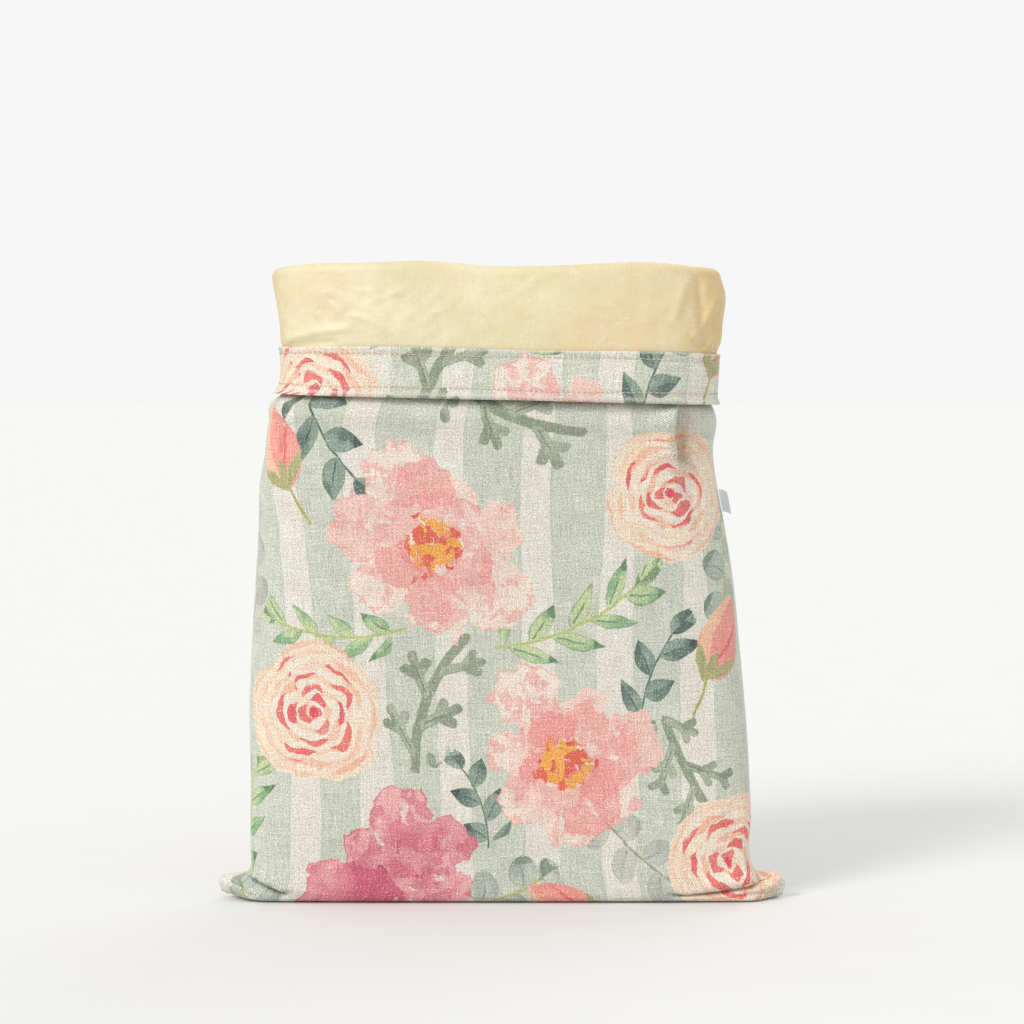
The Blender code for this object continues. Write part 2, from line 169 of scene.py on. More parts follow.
# small creases in metres, in the same columns
creases = (
    (-1, -0.132, 0.2225, -0.052, 0.2215, 0.000, -0.0005, 0.0022, 0.0022),
    (-1, -0.1140, 0.3005, -0.0790, 0.3065, 0.001, 0.0018, 0.0014, 0.0022),
    (-1, -0.1140, 0.2975, -0.0860, 0.3000, 0.000, -0.0014, 0.0012, 0.0016),
    (-1, -0.0760, 0.3140, -0.0560, 0.2990, 0.002, 0.0016, 0.0018, 0.0012),
    (-1, -0.0900, 0.3240, -0.0700, 0.3080, 0.001, -0.0013, 0.0014, 0.0020),
    (-1, -0.0740, 0.3290, -0.0600, 0.3120, 0.002, 0.0013, 0.0016, 0.0012),
    (-1, -0.0580, 0.3280, -0.0440, 0.3140, 0.001, 0.0012, 0.0014, 0.0020),
    (-1, -0.0480, 0.3140, -0.0360, 0.3020, 0.001, 0.0010, 0.0016, 0.0014),
    (-1, 0.1010, 0.3340, 0.1030, 0.2990, -0.001, -0.0030, 0.0014, 0.0026),
    (-1, 0.1090, 0.3220, 0.0985, 0.3010, 0.001, 0.0018, 0.0018, 0.0014),
    (-1, 0.1100, 0.3080, 0.1015, 0.2960, 0.000, -0.0018, 0.0014, 0.0018),
    (-1, 0.0960, 0.3330, 0.0900, 0.3120, 0.000, 0.0015, 0.0022, 0.0014),
    (-1, 0.0860, 0.3120, 0.0980, 0.3000, 0.001, 0.0012, 0.0016, 0.0016),
    (-1, 0.1060, 0.3330, 0.1110, 0.3200, 0.000, 0.0014, 0.0014, 0.0020),
    (-1, 0.0480, 0.3200, 0.0640, 0.3140, 0.001, 0.0006, 0.0016, 0.0016),
    (1, -0.0900, 0.3280, -0.0600, 0.3020, 0.002, 0.0009, 0.0020, 0.0030),
    (1, 0.0600, 0.3260, 0.0880, 0.3040, 0.002, -0.0009, 0.0020, 0.0030),
    (1, 0.1000, 0.3320, 0.0960, 0.2990, 0.000, 0.0010, 0.0016, 0.0020),
    (-1, -0.098, 0.3290, -0.072, 0.2960, 0.003, 0.0007, 0.0060, 0.0030),
    (-1, -0.080, 0.3220, -0.046, 0.3020, 0.002, 0.0005, 0.0050, 0.0026),
    (-1, -0.112, 0.3180, -0.094, 0.2930, 0.000, -0.0005, 0.0040, 0.0040),
    (-1, 0.108, 0.3320, 0.104, 0.2960, 0.000, -0.0007, 0.0030, 0.0030),
    (-1, 0.096, 0.3280, 0.074, 0.3080, 0.000, 0.0005, 0.0040, 0.0030),
    (-1, 0.020, 0.3260, 0.048, 0.3130, 0.000, 0.0004, 0.0060, 0.0040),
    (-1, -0.116, 0.2920, -0.092, 0.2790, 0.000, 0.0006, 0.0030, 0.0020),
    (-1, -0.098, 0.2940, -0.086, 0.2780, 0.000, -0.0004, 0.0020, 0.0020),
    (-1, -0.1370, 0.0142, -0.1155, 0.0048, 0.000, -0.0068, 0.0012, 0.0016),
    (-1, -0.1410, 0.0130, -0.1340, 0.0025, -0.001, -0.0040, 0.0009, 0.0012),
    (-1, -0.1370, 0.0160, -0.1130, 0.0075, 0.001, 0.0026, 0.0024, 0.0020),
    (-1, 0.0920, 0.0046, 0.1440, 0.0110, -0.0008, -0.0070, 0.0014, 0.0013),
    (-1, 0.1240, 0.0030, 0.1480, 0.0050, 0.000, -0.0030, 0.0012, 0.0012),
    (-1, 0.1080, 0.0100, 0.1360, 0.0140, 0.000, 0.0026, 0.0022, 0.0022),
    (1, -0.1400, 0.0100, -0.1080, 0.0035, 0.001, -0.0040, 0.0022, 0.0032),
    (1, 0.1080, 0.0035, 0.1400, 0.0100, 0.001, -0.0040, 0.0032, 0.0022),
)


def eased(value, start, end):
    part = np.clip((value - start) / (end - start), 0.0, 1.0)
    return part * part * (3.0 - 2.0 * part)


def bell(distance, reach):
    return np.exp(-((distance / reach) ** 2))


def column(table, index):
    return np.array([row[index] for row in table])


def smoothCurve(places, values, at):
    # a soft curve through the values, which may be rows of points
    shape = (-1,) + (1,) * (values.ndim - 1)
    slopes = np.gradient(values, places, axis=0)
    span = np.clip(np.searchsorted(places, at) - 1, 0, len(places) - 2)
    width = (places[span + 1] - places[span]).reshape(shape if np.ndim(at) else ())
    part = np.clip(np.reshape(at - places[span], shape if np.ndim(at) else ()) / width, 0.0, 1.0)
    start, end = values[span], values[span + 1]
    bend = (1 - part) * slopes[span] * width - part * slopes[span + 1] * width
    return start + (end - start) * part * part * (3 - 2 * part) + part * (1 - part) * bend


def ovalAt(flat, left, right, halfDepth, power):
    # places on the front half of a squarish oval, by their flat place, and the way out there
    turn = np.linspace(math.pi, 0.0, bag["ovalSteps"])
    across, forward = np.cos(turn), np.sin(turn)
    x = (left + right) / 2 + (right - left) / 2 * np.sign(across) * np.abs(across) ** (2 / power)
    y = -halfDepth * np.abs(forward) ** (2 / power)
    length = np.concatenate([[0.0], np.cumsum(np.hypot(np.diff(x), np.diff(y)))])
    reach = (length / length[-1] - 0.5) * bag["flatWidth"]
    alongX, alongY = np.gradient(x, reach), np.gradient(y, reach)
    place = np.stack([np.interp(flat, reach, x), np.interp(flat, reach, y)], axis=1)
    outward = np.stack([np.interp(flat, reach, alongY), -np.interp(flat, reach, alongX)], axis=1)
    return place, outward / np.linalg.norm(outward, axis=1, keepdims=True)


def seamDistance(flat):
    return bag["flatWidth"] / 2 - np.abs(flat)


def wallSizes(level):
    levels = column(wallRows, 0)
    edge = bag["linenThick"] / 2 + bag["seamRidge"]
    left, right, halfDepth, power = (
        float(smoothCurve(levels, column(wallRows, i), level)) for i in range(1, 5))
    return left + edge, right - edge, halfDepth, power


def cuffLine(index, x):
    places = column(cuffLines, 0)
    return smoothCurve(places, column(cuffLines, index), np.clip(x, places[0], places[-1]))


def cuffSwell(x, height):
    swell = np.zeros_like(x)
    for centreX, centreZ, amount, reachX, reachZ in cuffSwells:
        swell += amount * np.exp(-((x - centreX) / reachX) ** 2 - ((height - centreZ) / reachZ) ** 2)
    return swell


def wallRow(flat, level, offset, height):
    # a row of the wall, moved out by offset; its height may differ along it
    place, outward = ovalAt(flat, *wallSizes(level))
    distance = seamDistance(flat)
    ridge = bag["seamRidge"] * bell(distance, bag["ridgeReach"])
    roll = bag["seamRoll"] * bell(distance, bag["rollReach"])
    place = place + outward * (offset + ridge - roll)[:, None]
    return np.column_stack([place, height * np.ones(len(flat))])


def footRow(flat, seamX, seamZ, halfDepth, middleZ, power):
    place, _ = ovalAt(flat, -seamX, seamX, halfDepth, power)
    half = bag["flatWidth"] / 2
    rise = eased(np.abs(flat), half - halfDepth - bag["earEdge"], half)
    return np.column_stack([place, middleZ + (seamZ - middleZ) * rise])


def foldRow(flat, radius, turn):
    # turn runs over the top fold, from the wall at 0 to the cuff at pi
    roughX = wallRow(flat, bag["foldHeight"], 0 * flat, 0.0)[:, 0]
    height = bag["foldHeight"] + cuffLine(1, roughX)
    offset = foldCentre - radius * math.cos(turn) + cuffSwell(roughX, height) * turn / math.pi
    return wallRow(flat, bag["foldHeight"], offset, height + radius * math.sin(turn))


def cuffRow(flat, offset, part, rise=0.0):
    # part runs down the cuff, from the fold at 0 to the rim at 1
    level = bag["foldHeight"] + (bag["rimHeight"] - bag["foldHeight"]) * part
    roughX = wallRow(flat, level, 0 * flat, level)[:, 0]
    height = level + cuffLine(1, roughX) * (1 - part) + cuffLine(2, roughX) * part
    press = bag["pressAtSeam"] * eased(part, *bag["pressFrom"]) * bell(seamDistance(flat), bag["pressReach"])
    return wallRow(flat, level, offset * (1 - press) + cuffSwell(roughX, height), height + rise)


def wallGuide(flat):
    # the rows that shape the wall cloth, from the bottom seam to where the top fold starts
    rows = [footRow(flat, *row) for row in footRows]
    footRise = footRows[-1][1] - footRows[-1][3]
    half = bag["flatWidth"] / 2
    side = eased(np.abs(flat), half - footRows[-1][2] - bag["earEdge"], half)
    for level in column(wallRows, 0)[:-1]:
        rise = footRise * side * (1 - eased(level, *bag["footRiseEnd"]))
        row = wallRow(flat, level, 0 * flat, level + rise)
        row[:, 2] += cuffLine(1, row[:, 0]) * eased(level, bag["wavyFrom"], bag["foldHeight"])
        rows.append(row)
    return rows


def rowLengths(rows):
    # how far each row is along the cloth, taken over the middle half of the panel
    quarter = rows.shape[1] // 4
    steps = np.linalg.norm(np.diff(rows[:, quarter:-quarter], axis=0), axis=2).mean(axis=1)
    return np.concatenate([[0.0], np.cumsum(steps)])


neck = {
    "hiddenFrom": 0.004,      # the cuff hides the wall from this far above the rim
    "fineReach": 0.014,       # close rows below that
    "fineRows": 12,
    "swellBelow": 0.0105,     # the wall comes out again this far below the rim
    "swellReach": 0.0075,
    "sideFade": (0.004, 0.016),
    "seamFade": (0.0005, 0.008),
}


def finerWall(rows, top, fineStep, hiddenStep, footStep, neckReach):
    # the guide rows read at even steps; what the cuff hides gets few
    rows = np.stack(rows + [top])
    places = rowLengths(rows)
    footEnd = places[len(footRows)]
    hidden = places[-1] - (bag["foldHeight"] - bag["rimHeight"]) + neck["hiddenFrom"]
    at = np.concatenate([
        np.linspace(0, footEnd, round(footEnd / footStep), endpoint=False),
        np.linspace(footEnd, hidden - neck["fineReach"], round((hidden - footEnd) / fineStep), endpoint=False),
        np.linspace(hidden - neck["fineReach"], hidden, neck["fineRows"], endpoint=False),
        np.linspace(hidden, places[-1], round((places[-1] - hidden) / hiddenStep), endpoint=False),
    ])
    finer = smoothCurve(places, rows, at)
    x = finer[..., 0]
    fromRim = finer[..., 2] - bag["rimHeight"] - cuffLine(2, x.ravel()).reshape(x.shape)
    inFront = eased(np.abs(x[:, :1]) - np.abs(x), *neck["sideFade"]) * eased(-finer[..., 1], *neck["seamFade"])
    inward, swell = (np.interp(x.ravel(), column(neckDepths, 0), column(neckDepths, i)).reshape(x.shape)
                     for i in (1, 2))
    finer[..., 1] += inward * bell(fromRim, neckReach) * inFront
    finer[..., 1] -= swell * bell(fromRim + neck["swellBelow"], neck["swellReach"]) * inFront
    return list(finer)


def surfaceNormals(grid):
    # the way out at each point of a grid whose rows run up from the bottom seam
    normal = np.cross(np.gradient(grid, axis=1), np.gradient(grid, axis=0))
    normal[:, 0, 1] = 0.0
    normal[:, -1, 1] = 0.0
    normal /= np.linalg.norm(normal, axis=2, keepdims=True)
    seamX = grid[0, :, 0]
    normal[0] = (0.0, 0.0, -1.0)
    normal[0, :, 0] = np.sign(seamX) * eased(np.abs(seamX), *bag["earTurn"])
    return normal


def troughs(table, x, z, side, fadeOut, widen=1.0):
    # the sum of the table's lines at points of one side
    total = np.zeros_like(x)
    for rowSide, startX, startZ, endX, endZ, bow, depth, leftWidth, rightWidth in table:
        if rowSide != side:
            continue
        lineX, lineZ = endX - startX, endZ - startZ
        length = math.hypot(lineX, lineZ)
        part = ((x - startX) * lineX + (z - startZ) * lineZ) / length ** 2
        away = ((z - startZ) * lineX - (x - startX) * lineZ) / length
        away = away - bow * 4 * np.clip(part, 0, 1) * (1 - np.clip(part, 0, 1))
        width = np.where(away < 0, leftWidth, rightWidth) * widen
        ends = eased(part, *fadeOut[0]) * (1 - eased(part, *fadeOut[1]))
        total += depth * bell(away, width) * ends
    return total


def wrinkleField(seed, zones):
    # short soft waves at random places of each zone, the same ones each time
    luck = np.random.default_rng(seed)
    found = []
    for side, low, high, count, turns, lengths, pitches, depths in zones:
        for _ in range(count):
            found.append((side, luck.uniform(low[0], high[0]), luck.uniform(low[1], high[1]),
                          math.radians(luck.uniform(*turns)), luck.uniform(*lengths),
                          luck.uniform(*pitches), luck.uniform(*depths), luck.uniform(0, math.tau)))
    return found


# the same columns, for the walls alone: the pleat and the gathers that come out from under the band
pleats = (
    (-1, 0.0955, 0.2800, 0.0936, 0.2360, -0.0050, -0.0100, 0.0012, 0.0042),
    (-1, 0.0990, 0.2800, 0.0975, 0.2280, -0.0040, -0.0036, 0.0030, 0.0100),
    (-1, 0.0887, 0.2665, 0.0895, 0.2380, -0.0045, 0.0048, 0.0060, 0.0012),
    (-1, -0.1245, 0.2735, -0.1050, 0.2635, -0.0010, -0.0056, 0.0014, 0.0022),
    (-1, -0.1235, 0.2670, -0.1060, 0.2590, -0.0010, 0.0024, 0.0022, 0.0026),
    (-1, -0.128, 0.2640, -0.118, 0.2300, 0.000, 0.0020, 0.0030, 0.0022),
    (-1, -0.119, 0.2640, -0.114, 0.2400, 0.001, -0.0024, 0.0014, 0.0024),
    (-1, -0.112, 0.2660, -0.107, 0.2420, 0.000, 0.0018, 0.0030, 0.0020),
    (-1, -0.103, 0.2760, -0.100, 0.2480, 0.001, -0.0022, 0.0014, 0.0024),
    (-1, -0.094, 0.2760, -0.090, 0.2500, 0.000, -0.0016, 0.0030, 0.0018),
)
# the same columns, for cloth that is pushed sideways over what lies beside it
tucks = (
    (-1, 0.0916, 0.2760, 0.0900, 0.2380, -0.0048, 0.0036, 0.0045, 0.0016),
    (-1, -0.1165, 0.2720, -0.1125, 0.2500, 0.0005, 0.0012, 0.0030, 0.0012),
    (-1, -0.1392, 0.0134, -0.1340, 0.0036, -0.0010, -0.0016, 0.0009, 0.0026),
)
# the same columns, for cloth that hangs down over what lies below it
laps = (
    (-1, -0.1365, 0.0160, -0.1160, 0.0068, 0.000, -0.0021, 0.0010, 0.0026),
    (-1, 0.0920, 0.0064, 0.1435, 0.0128, -0.0008, -0.0022, 0.0010, 0.0030),
)
# x, and how far the fold of the cuff hangs below its even line there
rimDrops = (
    (-0.125, 0.0002), (-0.108, 0.0009), (-0.092, 0.0017), (-0.076, 0.0025),
    (-0.060, 0.0021), (-0.044, 0.0012), (-0.033, 0.0016), (-0.017, 0.0021),
    (-0.001, 0.0023), (0.015, 0.0014), (0.031, 0.0011), (0.053, 0.0010),
    (0.074, 0.0005), (0.090, 0.0007), (0.101, 0.0011), (0.125, 0.0004),
)
# side, low and high corner (x, z), how many, then ranges of turn, length, pitch and depth
wrinkleZones = (
    (-1, (-0.115, 0.298), (0.110, 0.332), 34, (-70, 70), (0.010, 0.022), (0.008, 0.020), (0.00010, 0.00034)),
    (-1, (-0.115, 0.300), (-0.030, 0.330), 16, (20, 70), (0.008, 0.018), (0.006, 0.012), (0.00015, 0.00042)),
    (1, (-0.115, 0.298), (0.110, 0.332), 34, (-70, 70), (0.010, 0.022), (0.008, 0.020), (0.00010, 0.00036)),
    (-1, (-0.118, 0.274), (-0.080, 0.294), 14, (-60, 60), (0.006, 0.012), (0.005, 0.010), (0.00012, 0.00034)),
    (-1, (-0.080, 0.274), (0.108, 0.294), 18, (-80, 80), (0.010, 0.020), (0.008, 0.016), (0.00005, 0.00020)),
    (1, (-0.110, 0.274), (0.108, 0.294), 22, (-80, 80), (0.010, 0.020), (0.008, 0.016), (0.00008, 0.00024)),
    (-1, (-0.130, 0.232), (-0.080, 0.268), 16, (-20, 25), (0.010, 0.024), (0.007, 0.014), (0.00015, 0.00050)),
    (-1, (0.080, 0.200), (0.115, 0.268), 12, (-35, 10), (0.012, 0.028), (0.008, 0.016), (0.00015, 0.00045)),
    (-1, (-0.125, 0.030), (0.125, 0.240), 44, (-60, 60), (0.020, 0.050), (0.014, 0.034), (0.00012, 0.00040)),
    (1, (-0.125, 0.030), (0.120, 0.262), 60, (-60, 60), (0.020, 0.050), (0.014, 0.034), (0.00015, 0.00060)),
    (-1, (-0.135, 0.006), (0.135, 0.030), 26, (-80, 80), (0.008, 0.020), (0.008, 0.016), (0.00010, 0.00035)),
    (1, (-0.135, 0.006), (0.135, 0.030), 26, (-80, 80), (0.008, 0.020), (0.008, 0.016), (0.00010, 0.00040)),
)
wrinkles = wrinkleField(11, wrinkleZones)


def wrinkleDepth(x, z, side):
    total = np.zeros_like(x)
    for rowSide, centreX, centreZ, turn, length, pitch, depth, phase in wrinkles:
        if rowSide != side:
            continue
        near = (np.abs(x - centreX) < 3 * length) & (np.abs(z - centreZ) < 3 * length)
        dx, dz = x[near] - centreX, z[near] - centreZ
        along = dx * math.sin(turn) + dz * math.cos(turn)
        across = dx * math.cos(turn) - dz * math.sin(turn)
        wave = np.cos(across / pitch * math.tau + phase)
        total[near] += depth * wave * np.exp(-((along / length) ** 2) - (across / (pitch * 0.8)) ** 2)
    return total


# where folds fade out, as shares of their line: at its start and at its end
foldFade = (-0.12, 0.10), (0.70, 1.10)
creaseFade = (-0.10, 0.12), (0.88, 1.10)
hiddenFade = (-0.20, 0.06), (0.94, 1.20)
lapFade = (-0.10, 0.15), (0.85, 1.10)

settling = {
    "underTop": (0.003, 0.010), "underSide": (0.100, 0.132),  # the bottom seam's shift ends at these
    "cornerFlat": 0.16,           # hidden cloth is flatter by this share over the bottom corners
    "cornerSide": (0.088, 0.104), "cornerTop": (0.014, 0.030),
    "foldUnit": 0.038,            # half the depth at which a main fold is as deep as its row says
    "foldTop": (0.255, 0.269),
    "waves": ((0.018, 0.027, 0.043), (0.011, 0.016, 0.037)),  # strength, length along x and in height
    "waveFrom": (0.015, 0.080),
    "hiddenWiden": 2.0,
    "mostShare": 0.55, "leastDepth": 0.0002,  # no crease goes deeper than this share of the depth
    "wrinkleSeam": (0.0, 0.012), "wrinkleFoot": (0.0, 0.012),
    "creaseSeam": (0.0, 0.0055), "creaseFoot": (0.0005, 0.005),
    "swayLength": 0.060, "swayFrom": (0.020, 0.120),
    "shake": 0.0007, "shakeSide": (0.085, 0.115),
    "puffSide": (0.070, 0.112), "cuffPuffSide": (0.085, 0.112), "cuffPuffFrom": (0.2930, 0.2990),
    "ground": (0.0, 0.012),
    "frontFrom": -0.002,
    "lapFoot": (0.003, 0.006),
    "endSlide": 0.0020,           # the left end of the cuff and band is slid in
    "slideSide": (0.085, 0.116), "slideFrom": (0.2660, 0.2740), "slideEnd": (0.2860, 0.3040),
    "dropFrom": (0.316, 0.338),
    "squeezeSide": (0.132, 0.148),
}


def settled(points, hidden=False, wall=True):
    # puts the folds, the sway, the bottom seam and the lifted corner into points of the even shape;
    # what another layer hides draws in a little wider, so that it stays behind
    x, y, z = points[..., 0], points[..., 1], points[..., 2]
    across, give = np.abs(x), settling
    hidden, wall = hidden * np.ones_like(x) > 0.5, wall * np.ones_like(x) > 0.5
    overCorner = 1 - eased(z, *give["cornerTop"])
    under = (1 - eased(z, *give["underTop"])) * (1 - eased(across, *give["underSide"]))
    moved = y + bag["seamBack"] * under * np.clip(1 - (y / bag["baseHalfDepth"]) ** 2, 0, 1)
    moved = moved * (1 - give["cornerFlat"] * hidden * eased(across, *give["cornerSide"]) * overCorner)
    scale, push = np.zeros_like(x), np.zeros_like(x)
    for side in (-1, 1):
        here = points[..., 1] * side > 0
        folds = troughs(mainFolds, x[here], z[here], side, foldFade) / give["foldUnit"]
        folds *= 1 - eased(z[here], *give["foldTop"])
        for strength, lengthX, lengthZ in give["waves"]:
            wave = np.sin(x[here] / lengthX + side) * np.sin(z[here] / lengthZ + side)
            folds += strength * wave * eased(z[here], *give["waveFrom"])
        small, wider = (
            troughs(creases, x[here], z[here], side, fadeOut, widen)
            + wall[here] * troughs(pleats, x[here], z[here], side, fadeOut, widen)
            for fadeOut, widen in ((creaseFade, 1.0), (hiddenFade, give["hiddenWiden"])))
        small = np.where(hidden[here], np.minimum(small, wider), small)
        most = give["mostShare"] * np.abs(y[here]) + give["leastDepth"]
        small = np.where(small < 0, -most * np.tanh(-small / most), small)
        scale[here] = folds
        push[here] = side * wrinkleDepth(x[here], z[here], side) * eased(np.abs(y[here]), *give["wrinkleSeam"])
        push[here] *= eased(z[here], *give["wrinkleFoot"])
        push[here] += (side * small * eased(np.abs(y[here]), *give["creaseSeam"])
                       * eased(z[here], *give["creaseFoot"]))
    sway = bag["sway"] * np.sin(z / give["swayLength"]) * eased(z, *give["swayFrom"])
    lift = bag["cornerLift"] * eased(-x, bag["cornerLiftStart"], bag["flatWidth"] / 2)
    shake = give["shake"] * np.sin(z / 0.019 + 2.0 * np.sin(z / 0.047)) * np.sin(y / 0.021 + 1.0)
    shake = shake * eased(across, *give["shakeSide"])
    for way, middle, amount, reach in sidePuffs:
        onWall = eased(across, *give["puffSide"]) * (x * way > 0) * (1 - eased(z, *puffTops[way]))
        shake += amount * bell(z - middle, reach) * onWall
    for way, middle, amount, reach in cuffPuffs:
        onCuff = eased(across, *give["cuffPuffSide"]) * (x * way > 0) * eased(z, *give["cuffPuffFrom"])
        shake += amount * bell(z - middle, reach) * onCuff
    inView = (points[..., 1] < give["frontFrom"]) & ~hidden
    slide = (inView & wall) * troughs(tucks, x, z, -1, creaseFade)
    slide += (give["endSlide"] * eased(-x, *give["slideSide"]) * eased(z, *give["slideFrom"])
              * (1 - eased(z, *give["slideEnd"])))
    lap = inView * troughs(laps, x, z, -1, lapFade) * eased(z, *give["lapFoot"])
    drop = np.interp(x, column(rimDrops, 0), column(rimDrops, 1)) * eased(z, *give["dropFrom"])
    z = z + lap - drop
    squeeze = bag["earSqueeze"] * eased(-x, *give["squeezeSide"]) * (1 - eased(z, *give["cornerTop"]))
    z = z * (1 - squeeze)
    newX = x + shake * np.sign(x) * eased(points[..., 2], *give["ground"]) + slide
    return np.stack([newX, moved * (1 + scale) + sway + push, z + lift], axis=-1)


# in metres from the middle, and from the side seam
columnPlaces = {
    "closerFrom": 0.085,
    "closerShare": 0.4,      # this share of them stands before that
    "edge": (0.0030, 0.0018, 0.0010, 0.0005, 0.00015),
    "gap": 0.0012,
}
sideRound = 0.0006           # a panel's sides are rounded off over this


def flatColumns(count):
    # closer together towards the sides, where the ears and the corners of the cuff are
    half, edge = bag["flatWidth"] / 2, columnPlaces["edge"]
    middle, share = columnPlaces["closerFrom"], round(count * columnPlaces["closerShare"])
    inner = np.linspace(0.0, middle, share, endpoint=False)
    outer = np.linspace(middle, half - edge[0] - columnPlaces["gap"], count - share)
    half = np.concatenate([inner, outer, half - np.array(edge)])
    return np.concatenate([-half[:0:-1], half])


def skins(grid, halfThick, flat):
    # the outer and inner skin; free edges are rounded off
    normals = surfaceNormals(grid)
    distance = np.clip((seamDistance(flat) - bag["seamGap"] / 2) / sideRound, 0.02, 1.0)
    half = halfThick[:, None] * np.sqrt(1 - (1 - distance) ** 2)[None, :]
    pair = []
    for way in (1, -1):
        skin = grid + normals * (way * half)[..., None]
        skin[..., 1] = np.minimum(skin[..., 1], -bag["seamGap"] / 2)
        skin[..., 2] = np.maximum(skin[..., 2], 0.0)
        pair.append(skin)
    return pair


def mirrored(skin):
    return skin * np.array([1.0, -1.0, 1.0])


def gridFaces(rows, columns):
    # quads of two skins and of the rim between them
    index = np.arange(rows * columns).reshape(rows, columns)
    under = index + rows * columns
    quads = [
        np.stack([index[:-1, :-1], index[:-1, 1:], index[1:, 1:], index[1:, :-1]], -1).reshape(-1, 4),
        np.stack([under[:-1, :-1], under[1:, :-1], under[1:, 1:], under[:-1, 1:]], -1).reshape(-1, 4),
    ]
    rim = np.concatenate([index[0], index[1:, -1], index[-1, -2::-1], index[-2:0:-1, 0]])
    after = np.roll(rim, -1)
    quads.append(np.stack([after, rim, rim + rows * columns, after + rows * columns], -1))
    return np.concatenate(quads)


def sheetPiece(name, outer, inner, flatX, flatY):
    # one closed mesh from two skins, with its flat place in metres as its UV map
    rows, columns = outer.shape[:2]
    points = np.concatenate([outer.reshape(-1, 3), inner.reshape(-1, 3)])
    faces = gridFaces(rows, columns)
    mesh = bpy.data.meshes.new(name)
    mesh.vertices.add(len(points))
    mesh.vertices.foreach_set("co", points.astype(np.float32).ravel())
    mesh.loops.add(faces.size)
    mesh.loops.foreach_set("vertex_index", faces.astype(np.int32).ravel())
    mesh.polygons.add(len(faces))
    mesh.polygons.foreach_set("loop_start", (np.arange(len(faces)) * 4).astype(np.int32))
    mesh.update(calc_edges=True)
    mesh.validate()
    place = np.stack(np.broadcast_arrays(flatX[None, :], flatY[:, None]), -1).reshape(-1, 2)
    place = np.concatenate([place, place])
    layer = mesh.uv_layers.new(name="flatPlace")
    layer.uv.foreach_set("vector", place[faces.ravel()].astype(np.float32).ravel())
    mesh.shade_smooth()
    piece = bpy.data.objects.new(name, mesh)
    bpy.context.scene.collection.objects.link(piece)
    return piece, place, faces


# materials: one class wraps a socket, the other a material while its nodes are added

class Wire:
    def __init__(self, finish, socket):
        self.finish = finish
        self.socket = socket

    def __add__(self, other):
        return self.finish.maths("ADD", self, other)

    def __radd__(self, other):
        return self.finish.maths("ADD", other, self)

    def __sub__(self, other):
        return self.finish.maths("SUBTRACT", self, other)

    def __rsub__(self, other):
        return self.finish.maths("SUBTRACT", other, self)

    def __mul__(self, other):
        return self.finish.maths("MULTIPLY", self, other)

    def __rmul__(self, other):
        return self.finish.maths("MULTIPLY", other, self)

    def __truediv__(self, other):
        return self.finish.maths("DIVIDE", self, other)

    def __pow__(self, other):
        return self.finish.maths("POWER", self, other)

    def __abs__(self):
        return self.finish.maths("ABSOLUTE", self)

    def floor(self):
        return self.finish.maths("FLOOR", self)

    def part(self):  # what is left after the whole number
        return self.finish.maths("FRACT", self)

    def sign(self):
        return self.finish.maths("SIGN", self)

    def sine(self):
        return self.finish.maths("SINE", self)

    def cosine(self):
        return self.finish.maths("COSINE", self)

    def under(self, limit):
        return self.finish.maths("LESS_THAN", self, limit)

    def most(self, other):
        return self.finish.maths("MAXIMUM", self, other)

    def steady(self, steps=100.0):  # an attribute's number without the tiny error between corners
        return self.finish.maths("ROUND", self * steps) / steps

    def eased(self, start, end):  # 0 to 1 from one number to the other, with soft ends
        return self.finish.node("ShaderNodeMapRange", {"interpolation_type": "SMOOTHSTEP"},
                                {"Value": self, "From Min": start, "From Max": end})

    def split(self):
        made = self.finish.node("ShaderNodeSeparateXYZ", {}, {"Vector": self}).socket.node
        return [Wire(self.finish, made.outputs[i]) for i in range(3)]


